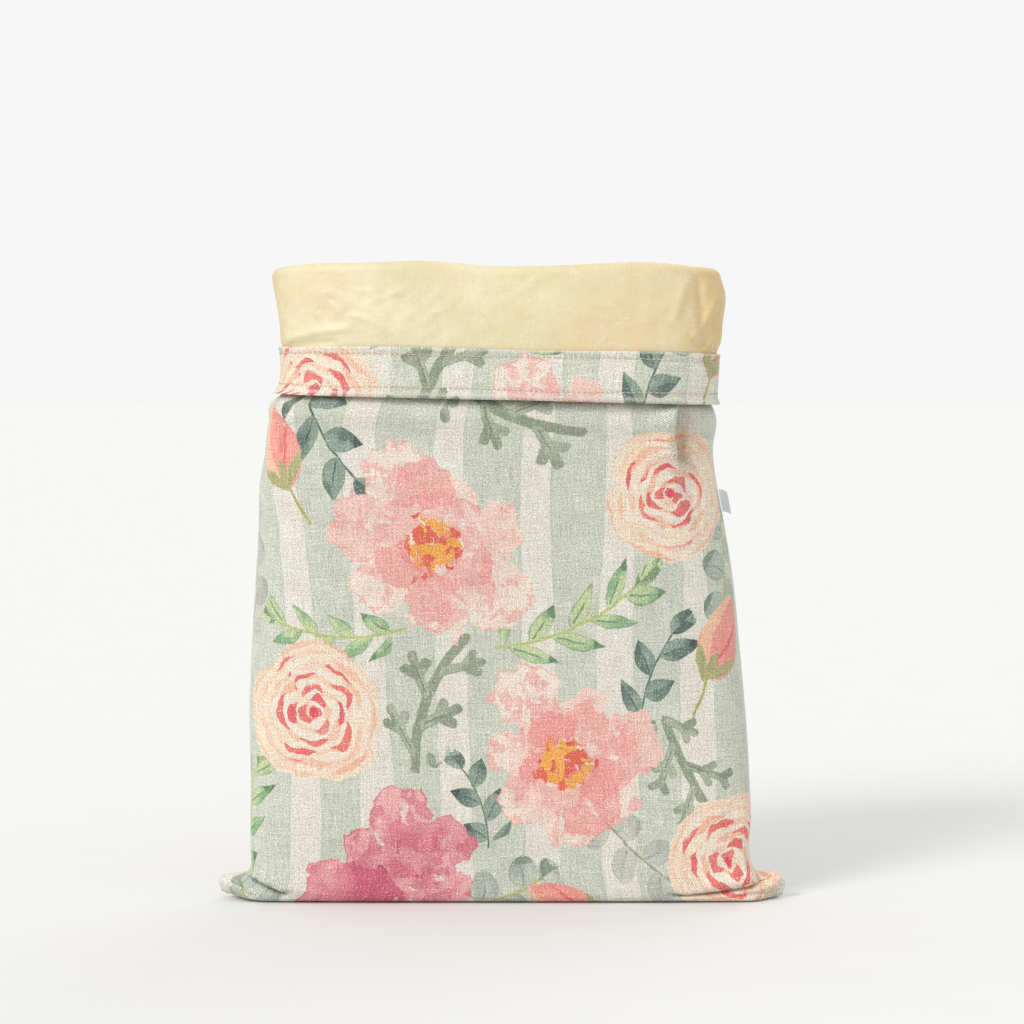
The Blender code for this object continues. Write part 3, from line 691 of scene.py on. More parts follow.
class Finish:
    def __init__(self, name):
        self.material = bpy.data.materials.new(name)
        self.material.use_nodes = True
        self.tree = self.material.node_tree
        self.shader = self.tree.nodes["Principled BSDF"]

    def node(self, kind, settings, sockets, out=0):
        made = self.tree.nodes.new(kind)
        for name, value in settings.items():
            if name == "stops":
                ramp = made.color_ramp
                while len(ramp.elements) < len(value):
                    ramp.elements.new(1.0)
                for element, (place, colour) in zip(ramp.elements, value):
                    element.position = place
                    element.color = (*colour, 1.0)
            elif name == "ramp":
                made.color_ramp.interpolation = value
            else:
                setattr(made, name, value)
        for key, value in sockets.items():
            socket = made.inputs[key] if isinstance(key, int) else next(
                s for s in made.inputs if key in (s.identifier, s.name) and s.enabled)
            if isinstance(value, Wire):
                self.tree.links.new(value.socket, socket)
            elif isinstance(value, (tuple, list)) and socket.type == "RGBA":
                socket.default_value = (*value[:3], 1.0)
            else:
                socket.default_value = value
        output = made.outputs[out] if isinstance(out, int) else next(
            s for s in made.outputs if out in (s.identifier, s.name))
        return Wire(self, output)

    def maths(self, operation, *values):
        return self.node("ShaderNodeMath", {"operation": operation}, dict(enumerate(values)))

    def mix(self, factor, first, second, blend="MIX"):
        return self.node("ShaderNodeMix", {"data_type": "RGBA", "blend_type": blend},
                         {"Factor_Float": factor, "A_Color": first, "B_Color": second}, "Result_Color")

    def shade(self, colour, value):  # a colour made lighter or darker by a number
        return self.mix(1.0, colour, self.vector(value, value, value), "MULTIPLY")

    def attribute(self, name, out="Vector"):
        return self.node("ShaderNodeAttribute", {"attribute_name": name}, {}, out)

    def inMillimetres(self, place):
        return self.node("ShaderNodeVectorMath", {"operation": "SCALE"}, {"Vector": place, "Scale": 1000.0})

    def flatPlace(self):  # where a point is on the flat cloth
        return self.inMillimetres(self.node("ShaderNodeUVMap", {"uv_map": "flatPlace"}, {}))

    def objectPlace(self):
        return self.inMillimetres(self.node("ShaderNodeTexCoord", {}, {}, "Object"))

    def vector(self, x, y, z=0.0):
        return self.node("ShaderNodeCombineXYZ", {}, {"X": x, "Y": y, "Z": z})

    def noise(self, place, scale, detail=2.0, rough=0.5, out="Fac", dims="2D"):
        return self.node("ShaderNodeTexNoise", {"noise_dimensions": dims},
                         {"Vector": place, "Scale": scale, "Detail": detail, "Roughness": rough}, out)

    def chance(self, place, out="Value"):  # a random number for each whole-numbered place
        return self.node("ShaderNodeTexWhiteNoise", {"noise_dimensions": "3D"}, {"Vector": place}, out)

    def distance(self, x, y):
        return self.maths("SQRT", x * x + y * y)

    def pick(self, tone, colours):  # one of a few colours by a tone from 0 to 1
        stops = [(i / len(colours), colour) for i, colour in enumerate(colours)]
        return self.node("ShaderNodeValToRGB", {"ramp": "CONSTANT", "stops": stops}, {"Fac": tone}, "Color")

    def bump(self, height, strength, distance):
        return self.node("ShaderNodeBump", {}, {"Strength": strength, "Distance": distance, "Height": height})

    def set(self, **sockets):  # Base_Color stands for Base Color
        for name, value in sockets.items():
            socket = self.shader.inputs[name.replace("_", " ")]
            if isinstance(value, Wire):
                self.tree.links.new(value.socket, socket)
            else:
                socket.default_value = value


def tint(red, green, blue):
    # a screen colour, 0 to 255 and none of it near black, as a linear one
    return tuple(((v / 255 + 0.055) / 1.055) ** 2.4 for v in (red, green, blue))


# the printed linen: stripes, and blooms and sprays of the common watercolour kind

linenPrint = {
    "sage": tint(195, 198, 184),
    "sageDeep": tint(182, 187, 172),
    "ground": tint(209, 206, 195),
    "stripeSpacing": 44.0,       # mm, as all the numbers of the print are
    "stripeHalfWidth": 8.8,
    "stripeSway": 4.0,
    "repeatWidth": 322.0,
    "repeatHeight": 312.0,
    "backShift": (141.0, 96.0),
    "threadPitch": 0.70,
    "fleck": tint(216, 211, 199),
    "rubbed": tint(214, 209, 198),
    # how much the weave's parts change the shade
    "evenShade": 0.99, "crossing": 0.27, "warp": 0.50, "weft": 0.44, "grain": 0.90,
    "roughness": 0.86, "specular": 0.25, "sheen": 0.12, "sheenRoughness": 0.5,
    "bump": 0.42, "bumpHeight": 0.00022,
}
bloomTones = {"rose": 0.1, "peony": 0.35, "ruffle": 0.6, "bud": 0.85}
sprigTones = {"fresh": 0.1, "dark": 0.3, "gum": 0.5, "mist": 0.7, "lobed": 0.9}

# light, deep, dark and twig colour of each kind of leaf
leafColours = {
    "fresh": (tint(182, 196, 150), tint(124, 164, 120), tint(76, 112, 82), tint(170, 184, 98)),
    "dark": (tint(132, 150, 138), tint(76, 102, 94), tint(42, 64, 62), tint(70, 92, 78)),
    "gum": (tint(164, 174, 164), tint(128, 146, 136), tint(68, 100, 80), tint(166, 170, 84)),
    "mist": (tint(176, 178, 170), tint(150, 156, 148), tint(120, 128, 122), tint(140, 144, 110)),
    "lobed": (tint(160, 168, 146), tint(126, 138, 118), tint(96, 112, 92), tint(128, 140, 118)),
}

# kind, x, y, turn in degrees, size, seed
bloomPlaces = (
    ("rose", 98, 240, 20, 40, 0.15),
    ("peony", -32, 214, 100, 55, 0.40),
    ("rose", -100, 122, -60, 42, 0.62),
    ("peony", 36, 96, -20, 57, 0.83),
    ("ruffle", -58, 32, 35, 50, 0.27),
    ("bud", -112, 258, 112, 38, 0.51),
    ("bud", 122, 154, 66, 38, 0.72),
    ("rose", 128, 40, 130, 40, 0.93),
    ("bud", 40, 12, 150, 34, 0.34),
)
# kind, x, y, turn, size, tilt of the leaves, their length and half width, seed
sprigPlaces = (
    ("fresh", 48, 176, 28, 54, 35, 0.58, 0.110, 0.21),
    ("fresh", -94, 168, 172, 46, 36, 0.60, 0.112, 0.64),
    ("gum", 132, 204, 80, 44, 66, 0.44, 0.205, 0.33),
    ("gum", -4, 22, 20, 46, 64, 0.44, 0.210, 0.74),
    ("mist", 86, 38, -40, 44, 62, 0.46, 0.205, 0.52),
    ("mist", -146, 200, 96, 44, 62, 0.44, 0.205, 0.88),
    ("lobed", -32, 134, 64, 46, 44, 0.72, 0.215, 0.46),
    ("lobed", 16, 284, -20, 48, 44, 0.72, 0.215, 0.57),
    ("dark", 88, 146, 66, 36, 44, 0.72, 0.205, 0.12),
    ("dark", -82, 268, -58, 40, 44, 0.72, 0.205, 0.38),
    ("fresh", -142, 66, 74, 48, 36, 0.58, 0.112, 0.80),
    ("lobed", 104, 90, -64, 38, 44, 0.72, 0.215, 0.69),
    ("gum", -122, 10, 150, 36, 64, 0.44, 0.210, 0.43),
    ("dark", -14, 76, 112, 30, 44, 0.72, 0.205, 0.90),
    ("fresh", 86, 306, 12, 44, 36, 0.58, 0.110, 0.17),
)
motifReach = 1.12            # a motif's share of the cloth, in its half lengths
farFromMotif = 5.0           # stands for a place on no motif


def placePrint(mesh, flat, faces, places, tones, prefix, narrow, shift):
    # each face takes the nearest motif; its corners keep where they are on that motif
    centre = flat[faces].mean(axis=1)
    width, height = linenPrint["repeatWidth"], linenPrint["repeatHeight"]
    steps = range(-2, 2)
    spread = [(kind, x + stepX * width + shift[0], y + stepY * height + shift[1], *rest)
              for kind, x, y, *rest in places for stepX in steps for stepY in steps]
    nearest, own = np.full(len(faces), motifReach), np.full(len(faces), -1)
    for i, (kind, x, y, turn, size, *rest) in enumerate(spread):
        if abs(x) > bag["flatWidth"] * 500 + size * 1.2:
            continue
        turn, away = math.radians(turn), centre - (x, y)
        along = away[:, 0] * math.cos(turn) + away[:, 1] * math.sin(turn)
        across = away[:, 1] * math.cos(turn) - away[:, 0] * math.sin(turn)
        far = np.hypot(along, across / narrow) / size
        near = far < nearest
        nearest[near], own[near] = far[near], i
    corners = faces.reshape(-1)
    cornerOwn = np.repeat(own, faces.shape[1])
    place, shape = np.full((len(corners), 3), farFromMotif), np.full((len(corners), 3), 0.5)
    tone = np.zeros(len(faces))
    for i in np.unique(own[own >= 0]):
        kind, x, y, turn, size, *rest = spread[i]
        mine, turn = cornerOwn == i, math.radians(turn)
        away = (flat[corners[mine]] - (x, y)) / size
        place[mine, 0] = away[:, 0] * math.cos(turn) + away[:, 1] * math.sin(turn)
        place[mine, 1] = away[:, 1] * math.cos(turn) - away[:, 0] * math.sin(turn)
        place[mine, 2] = rest[-1]
        tone[own == i] = tones[kind]
        if len(rest) > 1:
            shape[mine] = (math.radians(rest[0]), rest[1], rest[2])
    layers = [("Place", "FLOAT_VECTOR", "CORNER", "vector", place), ("Tone", "FLOAT", "FACE", "value", tone)]
    if len(places[0]) > 6:
        layers.append(("Shape", "FLOAT_VECTOR", "CORNER", "vector", shape))
    for name, kind, domain, field, values in layers:
        layer = mesh.attributes.new(prefix + name, kind, domain)
        layer.data.foreach_set(field, values.astype(np.float32).ravel())


def stripes(finish, x, y, rough):
    wide = finish.noise(finish.vector(x, y * 0.22), 0.021, 1.0, 0.5, "Color").split()
    lane = (x + (wide[0] - 0.5) * 4.0 * linenPrint["stripeSway"]) / linenPrint["stripeSpacing"]
    across = abs(lane.part() - 0.5) * linenPrint["stripeSpacing"]
    half = linenPrint["stripeHalfWidth"] + (wide[1] - 0.5) * 9.0
    edge = across + (rough[0] - 0.5) * 1.6
    pale = (half - edge).eased(-0.35, 0.35)
    rim = abs(half - edge).eased(1.6, 0.0) * 0.5
    sage = finish.mix((rough[1] - 0.5) * 1.6 + 0.5 + rim, linenPrint["sage"], linenPrint["sageDeep"])
    return finish.mix(pale, sage, linenPrint["ground"])


# as shares of the sprig's half length
lobedLeaf = {
    "spacing": 0.29,         # of the fingers
    "fingerLength": 0.25,
    "fingerRadius": 0.068,
    "branchRadius": 0.066,
    "branchShare": 0.86,     # of the leaf's length
    "lean": 0.7071,          # the fingers stand at 45 degrees
}
stationShift = 0.30          # moves the pairs of leaves along the stem
sprigNarrow, bloomNarrow = 0.62, 1.0   # width of a motif's share of the cloth to its length


def sprig(finish, under, rough):
    # leaves on both sides of a bent stem; lengths are parts of the sprig's half length
    x, y, seed = finish.attribute("sprigPlace").split()
    tilt, leafLength, leafWidth = finish.attribute("sprigShape").split()
    tone = finish.attribute("sprigTone", "Fac")
    seed = seed.steady()
    lobed, pointed = 1.0 - tone.under(0.8), tone.under(0.4)
    y = y - (seed * 37.0).sine() * 0.22 * (x * x - 0.35) + (rough[1] - 0.5) * 0.05
    x = x + (rough[0] - 0.5) * 0.05
    side, off = y.sign(), abs(y)
    cosine, sine = tilt.cosine(), tilt.sine()
    pitch = leafWidth * 2.2 / sine
    slide = x - off * cosine / sine + side * pitch * 0.25 + stationShift
    station = (slide / pitch).floor()
    dx = slide - (station + 0.5) * pitch + off * cosine / sine
    along = dx * cosine + off * sine
    across = off * cosine - dx * sine
    luck = finish.chance(finish.vector(station, side, seed * 9.0), "Color").split()
    length = leafLength * (0.72 + luck[0] * 0.28)
    t = along / length
    full = (t * (1.0 - t) * 4.0).most(0.0)
    width = leafWidth * (0.8 + 0.2 * luck[1]) * full ** (0.52 + pointed * 0.36)
    width = width * (1.0 + pointed * (0.36 - t) * 0.7)
    # a lobed leaf: an even branch with rounded fingers on both sides
    away, branch = abs(across), length * lobedLeaf["branchShare"]
    root = ((along - away) / lobedLeaf["spacing"] + 0.5).floor() * lobedLeaf["spacing"]
    forward, aside = (along - root + away) * lobedLeaf["lean"], (away - along + root) * lobedLeaf["lean"]
    fingerEnd = finish.distance(aside, (forward - lobedLeaf["fingerLength"] + t * 0.10).most(0.0))
    branchEnd = finish.distance(away, (along - branch).most(0.0))
    finger = (lobedLeaf["fingerRadius"] - fingerEnd) * (root - 0.1).eased(-0.01, 0.01)
    finger = finger * (branch - root).eased(-0.01, 0.01)
    fingers = (lobedLeaf["branchRadius"] - branchEnd).most(finger - (1.0 - root.eased(0.10, 0.12)) * 0.2)
    inside = finish.mix(lobed, width - away, fingers).split()[0]
    # a leaf whose tip would leave the motif is left out
    tip = (station + 0.5) * pitch - side * pitch * 0.25 - stationShift + leafLength * cosine
    here = (motifReach - 0.03 - finish.distance(tip, leafLength * sine / sprigNarrow)).eased(-0.005, 0.005)
    here = here * (x + 0.86).eased(0.0, 0.02) * along.eased(-0.01, 0.01)
    leaf = inside.eased(0.0, 0.02) * here
    endT = (x - 0.56) / (leafLength * 0.72)
    endWidth = leafWidth * 0.9 * (endT * (1.0 - endT) * 4.0).most(0.0) ** 0.75
    endLeaf = (endWidth - off).eased(0.0, 0.02) * (1.0 - lobed)
    stem = (0.016 + lobed * 0.044 - finish.distance(off, (x - 0.72).most(0.0))).eased(-0.008, 0.008)
    stem = stem * (x + 1.0).eased(0.0, 0.02) * (0.7 + lobed * 0.3 - x).eased(0.0, 0.02)
    stalk = (0.012 - away).eased(-0.006, 0.006) * (0.12 - along).eased(-0.02, 0.02) * here
    light, deep, dark, twig = (
        finish.pick(tone, [leafColours[kind][i] for kind in sprigTones]) for i in range(4))
    wash = (rough[2] - 0.5) * 1.6
    half = (across + wash * 0.04).eased(-0.006, 0.006)
    fill = (t * 0.9 + wash + half * 0.35 - 0.25 + (luck[2] - 0.5) * 0.5).eased(0.1, 0.9)
    colour = finish.mix(fill, light, deep)
    colour = finish.mix(inside.eased(0.030, 0.008) * (0.35 + half * 0.4), colour, dark)
    darkTip = (t + wash * 0.25).eased(0.74, 0.80) * luck[1].eased(0.35, 0.45) * (1.0 - lobed)
    colour = finish.mix(darkTip * 0.8, colour, dark)
    vein = (0.010 - away).eased(-0.005, 0.005) * t.eased(0.10, 0.13) * t.eased(0.66, 0.5)
    vein = vein * luck[0].eased(0.3, 0.35)
    ribs = abs(((t * 1.3 - away * 2.2) * 22.0).sine()).eased(0.22, 0.06) * pointed * 0.45
    colour = finish.mix((vein * 0.75).most(ribs * full), colour, dark)
    # the misty leaves and some round ones let the stripes through
    see = 0.94 - tone.under(0.8) * (1.0 - tone.under(0.6)) * 0.34
    see = see - tone.under(0.6) * (1.0 - pointed) * luck[2] * 0.4
    under = finish.mix(stem.most(stalk) * 0.9, under, twig)
    return finish.mix(leaf.most(endLeaf) * see, under, colour)


def rose(finish, x, y, seed, rough):
    # rings of broken crescents round a small heart, in a circle of radius 1
    x = x + (rough[0] - 0.5) * 0.15
    y = y + (rough[1] - 0.5) * 0.15
    r = finish.distance(x, y)
    turn = finish.maths("ARCTAN2", y, x) / math.tau
    wave = 0.035 * (turn * math.tau * 5.0 + seed * 60.0).cosine()
    wave = wave + 0.03 * (turn * math.tau * 3.0 + seed * 90.0).cosine()
    mask = (0.90 + wave - r).eased(-0.01, 0.012)
    lane = r / (0.148 + wave * 0.12) + turn
    ring = lane.floor()
    v = lane.part() - 0.5
    arc = turn * (ring + 2.0) + ring * 0.37 + seed * 5.0
    u = arc.part() - 0.5
    luck = finish.chance(finish.vector(arc.floor(), ring, seed * 7.0), "Color").split()
    centre = 0.20 - u * u * (1.5 + luck[1] * 1.6) + (luck[0] - 0.5) * 0.26
    reach = 0.30 + luck[2] * 0.16
    thick = (0.22 + luck[1] * 0.18 + (0.60 - r).eased(0.0, 0.4) * 0.12) * (1.0 - (u / reach) * (u / reach))
    stroke = (thick - abs(v - centre)).eased(0.0, 0.05)
    bold = (luck[0] + (0.55 - r).eased(0.0, 0.3) * 0.2).eased(0.22, 0.28)
    bold = bold * (1.0 - (r - 0.76 + luck[2] * 0.30).eased(0.0, 0.08) * 0.85)
    arcPale = arc + 0.5
    uPale = arcPale.part() - 0.5
    luckPale = finish.chance(finish.vector(arcPale.floor(), ring, seed * 11.0), "Color").split()
    thickPale = (0.20 + luckPale[1] * 0.2) * (1.0 - (uPale / 0.45) * (uPale / 0.45))
    strokePale = (thickPale - abs(v + 0.18 - luckPale[0] * 0.3)).eased(0.0, 0.08)
    outward = (r * 0.9 + (rough[2] - 0.5) * 1.8).eased(0.25, 0.9)
    base = finish.mix(outward, tint(219, 208, 192), tint(221, 202, 180))
    peach = finish.mix(luckPale[1], tint(222, 186, 154), tint(222, 170, 146))
    base = finish.mix(strokePale * (0.35 + luckPale[2] * 0.65), base, peach)
    coral = finish.mix(luck[2] * 0.7 + (rough[2] - 0.5), tint(208, 88, 96), tint(218, 124, 110))
    coral = finish.mix((r - 0.55).eased(0.0, 0.4) * 0.5, coral, tint(221, 142, 118))
    base = finish.mix(stroke * bold * 0.94, base, coral)
    return mask, finish.mix((0.07 - r).eased(-0.02, 0.02), base, tint(204, 78, 90))


def peony(finish, x, y, seed, rough, fine, ruffle):
    # three layers of petals and a ragged heart of stamens; the ruffle has deeper petals and no stamens
    x = x + (rough[0] - 0.5) * 0.24 + (fine[0] - 0.5) * 0.016
    y = y + (rough[1] - 0.5) * 0.24 + (fine[1] - 0.5) * 0.016
    r = finish.distance(x, y)
    turn = finish.maths("ARCTAN2", y, x) / math.tau
    petalPink = finish.mix(ruffle, tint(222, 186, 173), tint(206, 116, 132))
    petalPale = finish.mix(ruffle, tint(221, 206, 193), tint(219, 160, 160))
    petalDeep = finish.mix(ruffle, tint(217, 138, 134), tint(186, 72, 102))
    petalDark = finish.mix(ruffle, tint(211, 104, 106), tint(160, 50, 80))
    blush = (0.62 + (rough[2] - 0.5) * 0.9 - r).eased(-0.10, 0.30)
    colour, mask = None, None
    for number, (count, size, spread) in enumerate(((7.0, 0.92, 0.20), (6.0, 0.66, 0.16), (5.0, 0.44, 0.12))):
        arc = turn * count + seed * 13.0 + number * 0.41
        u = arc.part() - 0.5
        luck = finish.chance(finish.vector(arc.floor(), number, seed * 5.0), "Color").split()
        notch = (abs(u) * 2.0) ** 3.0 * size * 0.30
        edgeLine = size + (luck[0] - 0.5) * spread * 2.0 - notch + (fine[2] - 0.5) * 0.016
        here = (edgeLine - r).eased(-0.006, 0.010)
        share = r / edgeLine
        lift = (share * 0.8 + (rough[2] - 0.5) * 1.6 + (luck[1] - 0.5) * 0.8).eased(0.15, 0.85)
        tone = finish.mix(lift, petalPink, petalPale)
        deeper = luck[2].eased(0.55, 0.66) * (0.36 + 0.28 * number)
        tone = finish.mix(deeper.most(blush * (0.1 + luck[0] * 0.75)), tone, petalDeep)
        crease = abs(u + (rough[0] - 0.5) * 0.25).eased(0.47 - 0.02 * number, 0.50) * share.eased(0.98, 0.5)
        tone = finish.mix(crease * 0.85, tone, petalDark)
        streak = (abs(u - 0.15 + luck[1] * 0.3) * 9.0 / (0.4 + share)).eased(0.7, 0.2)
        streak = streak * share.eased(0.86, 0.55) * luck[0].eased(0.45, 0.55)
        tone = finish.mix(streak * 0.6, tone, petalDeep)
        blot = (rough[1] + (fine[0] - 0.5) * 0.16 + (luck[1] - 0.5) * 0.22).eased(0.585, 0.600)
        tone = finish.mix(blot * share.eased(0.25, 0.6) * 0.5, tone, petalDeep)
        gleam = (abs(u + 0.2 - luck[2] * 0.3) * 9.0).eased(0.7, 0.3) * abs(share - 0.7).eased(0.14, 0.08)
        tone = finish.mix(gleam * luck[1].eased(0.6, 0.65) * 0.7, tone, tint(216, 206, 195))
        tone = finish.mix((edgeLine - r).eased(0.036, 0.008) * (luck[1] * 0.6), tone, petalDeep)
        colour = tone if colour is None else finish.mix(here, colour, tone)
        mask = here if mask is None else mask.most(here)
    seeds = finish.node("ShaderNodeTexVoronoi", {"voronoi_dimensions": "2D", "feature": "F1"},
                        {"Vector": finish.vector(x, y * 0.8), "Scale": 12.5, "Randomness": 1.0}, "Distance")
    cell = Wire(finish, seeds.socket.node.outputs["Color"]).split()
    ragged = (0.26 + (cell[1] - 0.5) * 0.12 + (rough[0] - 0.5) * 0.2 - r).eased(-0.01, 0.01) * (1.0 - ruffle)
    yolk = finish.mix(cell[0].eased(0.52, 0.56), tint(222, 152, 58), tint(206, 84, 62))
    gap = finish.mix(cell[2].eased(0.70, 0.74), petalDark, tint(218, 208, 196))
    colour = finish.mix(ragged * 0.85, colour, gap)
    return mask, finish.mix((0.62 - seeds).eased(-0.05, 0.05) * ragged, colour, yolk)


def bud(finish, x, y, rough):
    x = x + (rough[0] - 0.5) * 0.08
    y = y + (rough[1] - 0.5) * 0.08
    t = (x + 0.42) / 1.30
    width = 0.40 * (t * (1.0 - t) * 4.0).most(0.0) ** 0.62 * (1.12 - t * 0.45)
    body = (width - abs(y)).eased(-0.006, 0.012)
    wash = rough[2] - 0.5
    petals = [finish.mix(wash + 0.5, tint(219, 134, 128), tint(222, 160, 146)),
              finish.mix(wash + 0.4, tint(224, 188, 160), tint(222, 166, 144))]
    tone = finish.mix((y + 0.06 - 0.22 * (t * 3.0).sine()).eased(-0.02, 0.02), *petals)
    line = abs(y + 0.10 - 0.10 * (t * 4.0).cosine()).eased(0.035, 0.02)
    line = line * t.eased(0.9, 0.6) * t.eased(0.1, 0.3)
    tone = finish.mix(line * 0.7, tone, tint(206, 88, 96))
    bow = x + 0.5
    stem = (0.022 - abs(y + 0.1 * bow * bow)).eased(-0.008, 0.008)
    stem = stem * (-0.34 - x).eased(0.0, 0.02) * (x + 1.0).eased(0.0, 0.02)
    sepals = None
    for angle, length in ((-0.62, 0.62), (0.05, 0.46), (0.70, 0.58)):
        along = ((x + 0.44) * math.cos(angle) + y * math.sin(angle)) / length
        across = y * math.cos(angle) - (x + 0.44) * math.sin(angle) + 0.06 * (along - 0.5)
        one = (0.075 * (along * (1.0 - along) * 4.0).most(0.0) ** 0.8 - abs(across)).eased(-0.004, 0.01)
        sepals = one if sepals is None else sepals.most(one)
    sepalGreen = finish.mix(wash + 0.5, tint(148, 150, 104), tint(178, 172, 128))
    green = finish.mix(stem, sepalGreen, tint(164, 164, 102))
    leafy = stem.most(sepals)
    return body.most(leafy), finish.mix(leafy, tone, green)


def weave(finish, place, x, y, pitch):
    # the crossings of a plain weave, how light its threads and flecks are, and its height
    warp = finish.noise(finish.vector(x * 1.4, y * 0.07), 1.0, 2.0, 0.6)
    weft = finish.noise(finish.vector(x * 0.07 + 37.0, y * 1.4), 1.0, 2.0, 0.6)
    grain = finish.noise(place, 1.15, 1.0, 0.5) - 0.5
    crossing = (x * (math.pi / pitch)).sine() * (y * (math.pi / pitch)).sine()
    warp, weft = warp - 0.5, weft - 0.5
    return crossing, warp, weft, grain, crossing * 0.45 + (warp + weft) * 1.1


def printedLinen(rim, hemTop):
    # rim and hemTop are where along the cloth the cuff turns up and where its hem ends, in mm
    finish = Finish("printedLinen")
    place = finish.flatPlace()
    x, y, _ = place.split()
    rough = finish.noise(place, 0.085, 2.0, 0.55, "Color").split()
    fine = finish.noise(place, 0.42, 2.0, 0.6, "Color").split()
    colour = sprig(finish, stripes(finish, x, y, rough), rough)
    bloomX, bloomY, seed = finish.attribute("bloomPlace").split()
    seed = seed.steady()
    tone = finish.attribute("bloomTone", "Fac")
    isRose, isBud = tone.under(0.25), 1.0 - tone.under(0.75)
    mask, petals = rose(finish, bloomX, bloomY, seed, rough)
    colour = finish.mix(mask * isRose, colour, petals)
    mask, petals = peony(finish, bloomX, bloomY, seed, rough, fine, tone.eased(0.49, 0.51))
    colour = finish.mix(mask * (1.0 - isRose - isBud) * 0.93, colour, petals)
    mask, petals = bud(finish, bloomX, bloomY, rough)
    colour = finish.mix(mask * isBud, colour, petals)
    look = linenPrint
    crossing, warp, weft, grain, height = weave(finish, place, x, y, look["threadPitch"])
    # the ink sits on the raised threads, so pale flecks show between them
    flecks = (grain + warp * 0.5 + weft * 0.4).eased(0.10, 0.34)
    colour = finish.mix(flecks * 0.34, colour, look["fleck"])
    colour = finish.shade(colour, look["evenShade"] + crossing * look["crossing"] + warp * look["warp"]
                          + weft * look["weft"] + grain * look["grain"])
    # the turned edges are rubbed pale, and the stitches pucker the cloth beside them
    rubbed = abs(y - rim).eased(1.3, 0.2).most((y - hemTop + 1.6).eased(0.0, 1.2)) * (0.55 + grain * 1.4)
    colour = finish.mix(rubbed * 0.75, colour, look["rubbed"])
    lines = [abs(y - rim - line * 1000).eased(1.7, 0.3) for line in outerCloth["stitchLines"]]
    pucker = (x * (math.tau / (stitches["pitch"] * 1000))).cosine() * lines[0].most(lines[1])
    height = height + pucker * 1.3
    finish.set(Base_Color=colour, Roughness=look["roughness"] + grain * 0.12,
               Specular_IOR_Level=look["specular"], Sheen_Weight=look["sheen"],
               Sheen_Roughness=look["sheenRoughness"],
               Normal=finish.bump(height, look["bump"], look["bumpHeight"]))
    print("printed linen:", len(finish.tree.nodes), "nodes")
    return finish.material


wax = {
    "coat": tint(217, 208, 174),
    "thick": tint(212, 200, 160),
    "showThrough": tint(217, 194, 157),
    "warm": tint(216, 190, 142),
    # darker tan at the side seams: partly the doubled cloth of the seam, partly painted shade where the cloth
    # turns away
    "seam": tint(212, 172, 112),
    # tan of the painted shade where the cuff turns away at its ends
    "edge": tint(203, 169, 100),
    "stain": tint(203, 187, 142),
    "bloom": tint(221, 214, 188),
    "threadPitch": 0.62,     # mm
    "roughness": 0.47, "specular": 0.36, "coatWeight": 0.05, "coatRoughness": 0.30,
    "bump": 0.34, "bumpHeight": 0.00014,
}


def waxedLining():
    # cream cloth stiff with wax: blotches, a fine weave under the coat, a faint print showing through, and
    # painted shade towards its ends
    finish = Finish("waxedLining")
    place = finish.flatPlace()
    x, y, _ = place.split()
    broad = finish.noise(place, 0.016, 3.0, 0.55, "Color").split()
    rough = finish.noise(place, 0.11, 3.0, 0.6, "Color").split()
    colour = finish.mix(broad[0].eased(0.36, 0.66), wax["coat"], wax["thick"])
    colour = finish.mix(broad[1].eased(0.52, 0.66) * 0.60, colour, wax["showThrough"])
    colour = finish.mix(rough[0].eased(0.56, 0.74) * 0.35, colour, wax["stain"])
    colour = finish.mix(rough[1].eased(0.58, 0.72) * 0.30, colour, wax["bloom"])
    colour = finish.mix((x + (broad[2] - 0.5) * 90.0).eased(20.0, 105.0) * 0.55, colour, wax["warm"])
    # painted shade: a tan darkening towards the right end and towards both ends of the cuff, stronger on the
    # right, away from the key light
    colour = finish.mix((x + rough[0] * 22.0).eased(94.0, 130.0) * 0.42, colour, wax["edge"])
    sideShade = (abs(x) + rough[1] * 24.0).eased(114.0, 146.0) * (0.55 + x.eased(0.0, 60.0) * 0.25)
    colour = finish.mix(sideShade, colour, wax["edge"])
    # the seam strip: partly the doubled cloth of the seam, partly painted shade at the turn of the side
    colour = finish.mix((abs(x) + rough[0] * 4.0).eased(142.0, 149.0) * 0.70, colour, wax["seam"])
    bent = finish.noise(place, 0.052, 2.0, 0.45, "Color").split()
    crease = ((1.0 - abs(bent[0] * 2.0 - 1.0)) ** 26.0 * bent[1].eased(0.46, 0.60)).most(
        (1.0 - abs(bent[2] * 2.0 - 1.0)) ** 34.0 * bent[0].eased(0.50, 0.62))
    colour = finish.mix(crease * 0.42, colour, wax["bloom"])
    crossing, warp, weft, grain, height = weave(finish, place, x, y, wax["threadPitch"])
    # more crumpled at the ends, by the seams
    crumple = 1.0 + (abs(x) + rough[2] * 30.0).eased(100.0, 135.0) * 2.2
    height = height + crease * 3.0 + (bent[1] - 0.5) * 4.0 * crumple
    colour = finish.shade(colour, 1.0 + crossing * 0.02 + warp * 0.10 + weft * 0.10 + grain * 0.12)
    height = height + (rough[2] - 0.5) * 0.8
    finish.set(Base_Color=colour, Roughness=wax["roughness"] + (rough[2] - 0.5) * 0.25 + grain * 0.10,
               Specular_IOR_Level=wax["specular"], Coat_Weight=wax["coatWeight"],
               Coat_Roughness=wax["coatRoughness"], Normal=finish.bump(height, wax["bump"], wax["bumpHeight"]))
    print("waxed lining:", len(finish.tree.nodes), "nodes")
    return finish.material


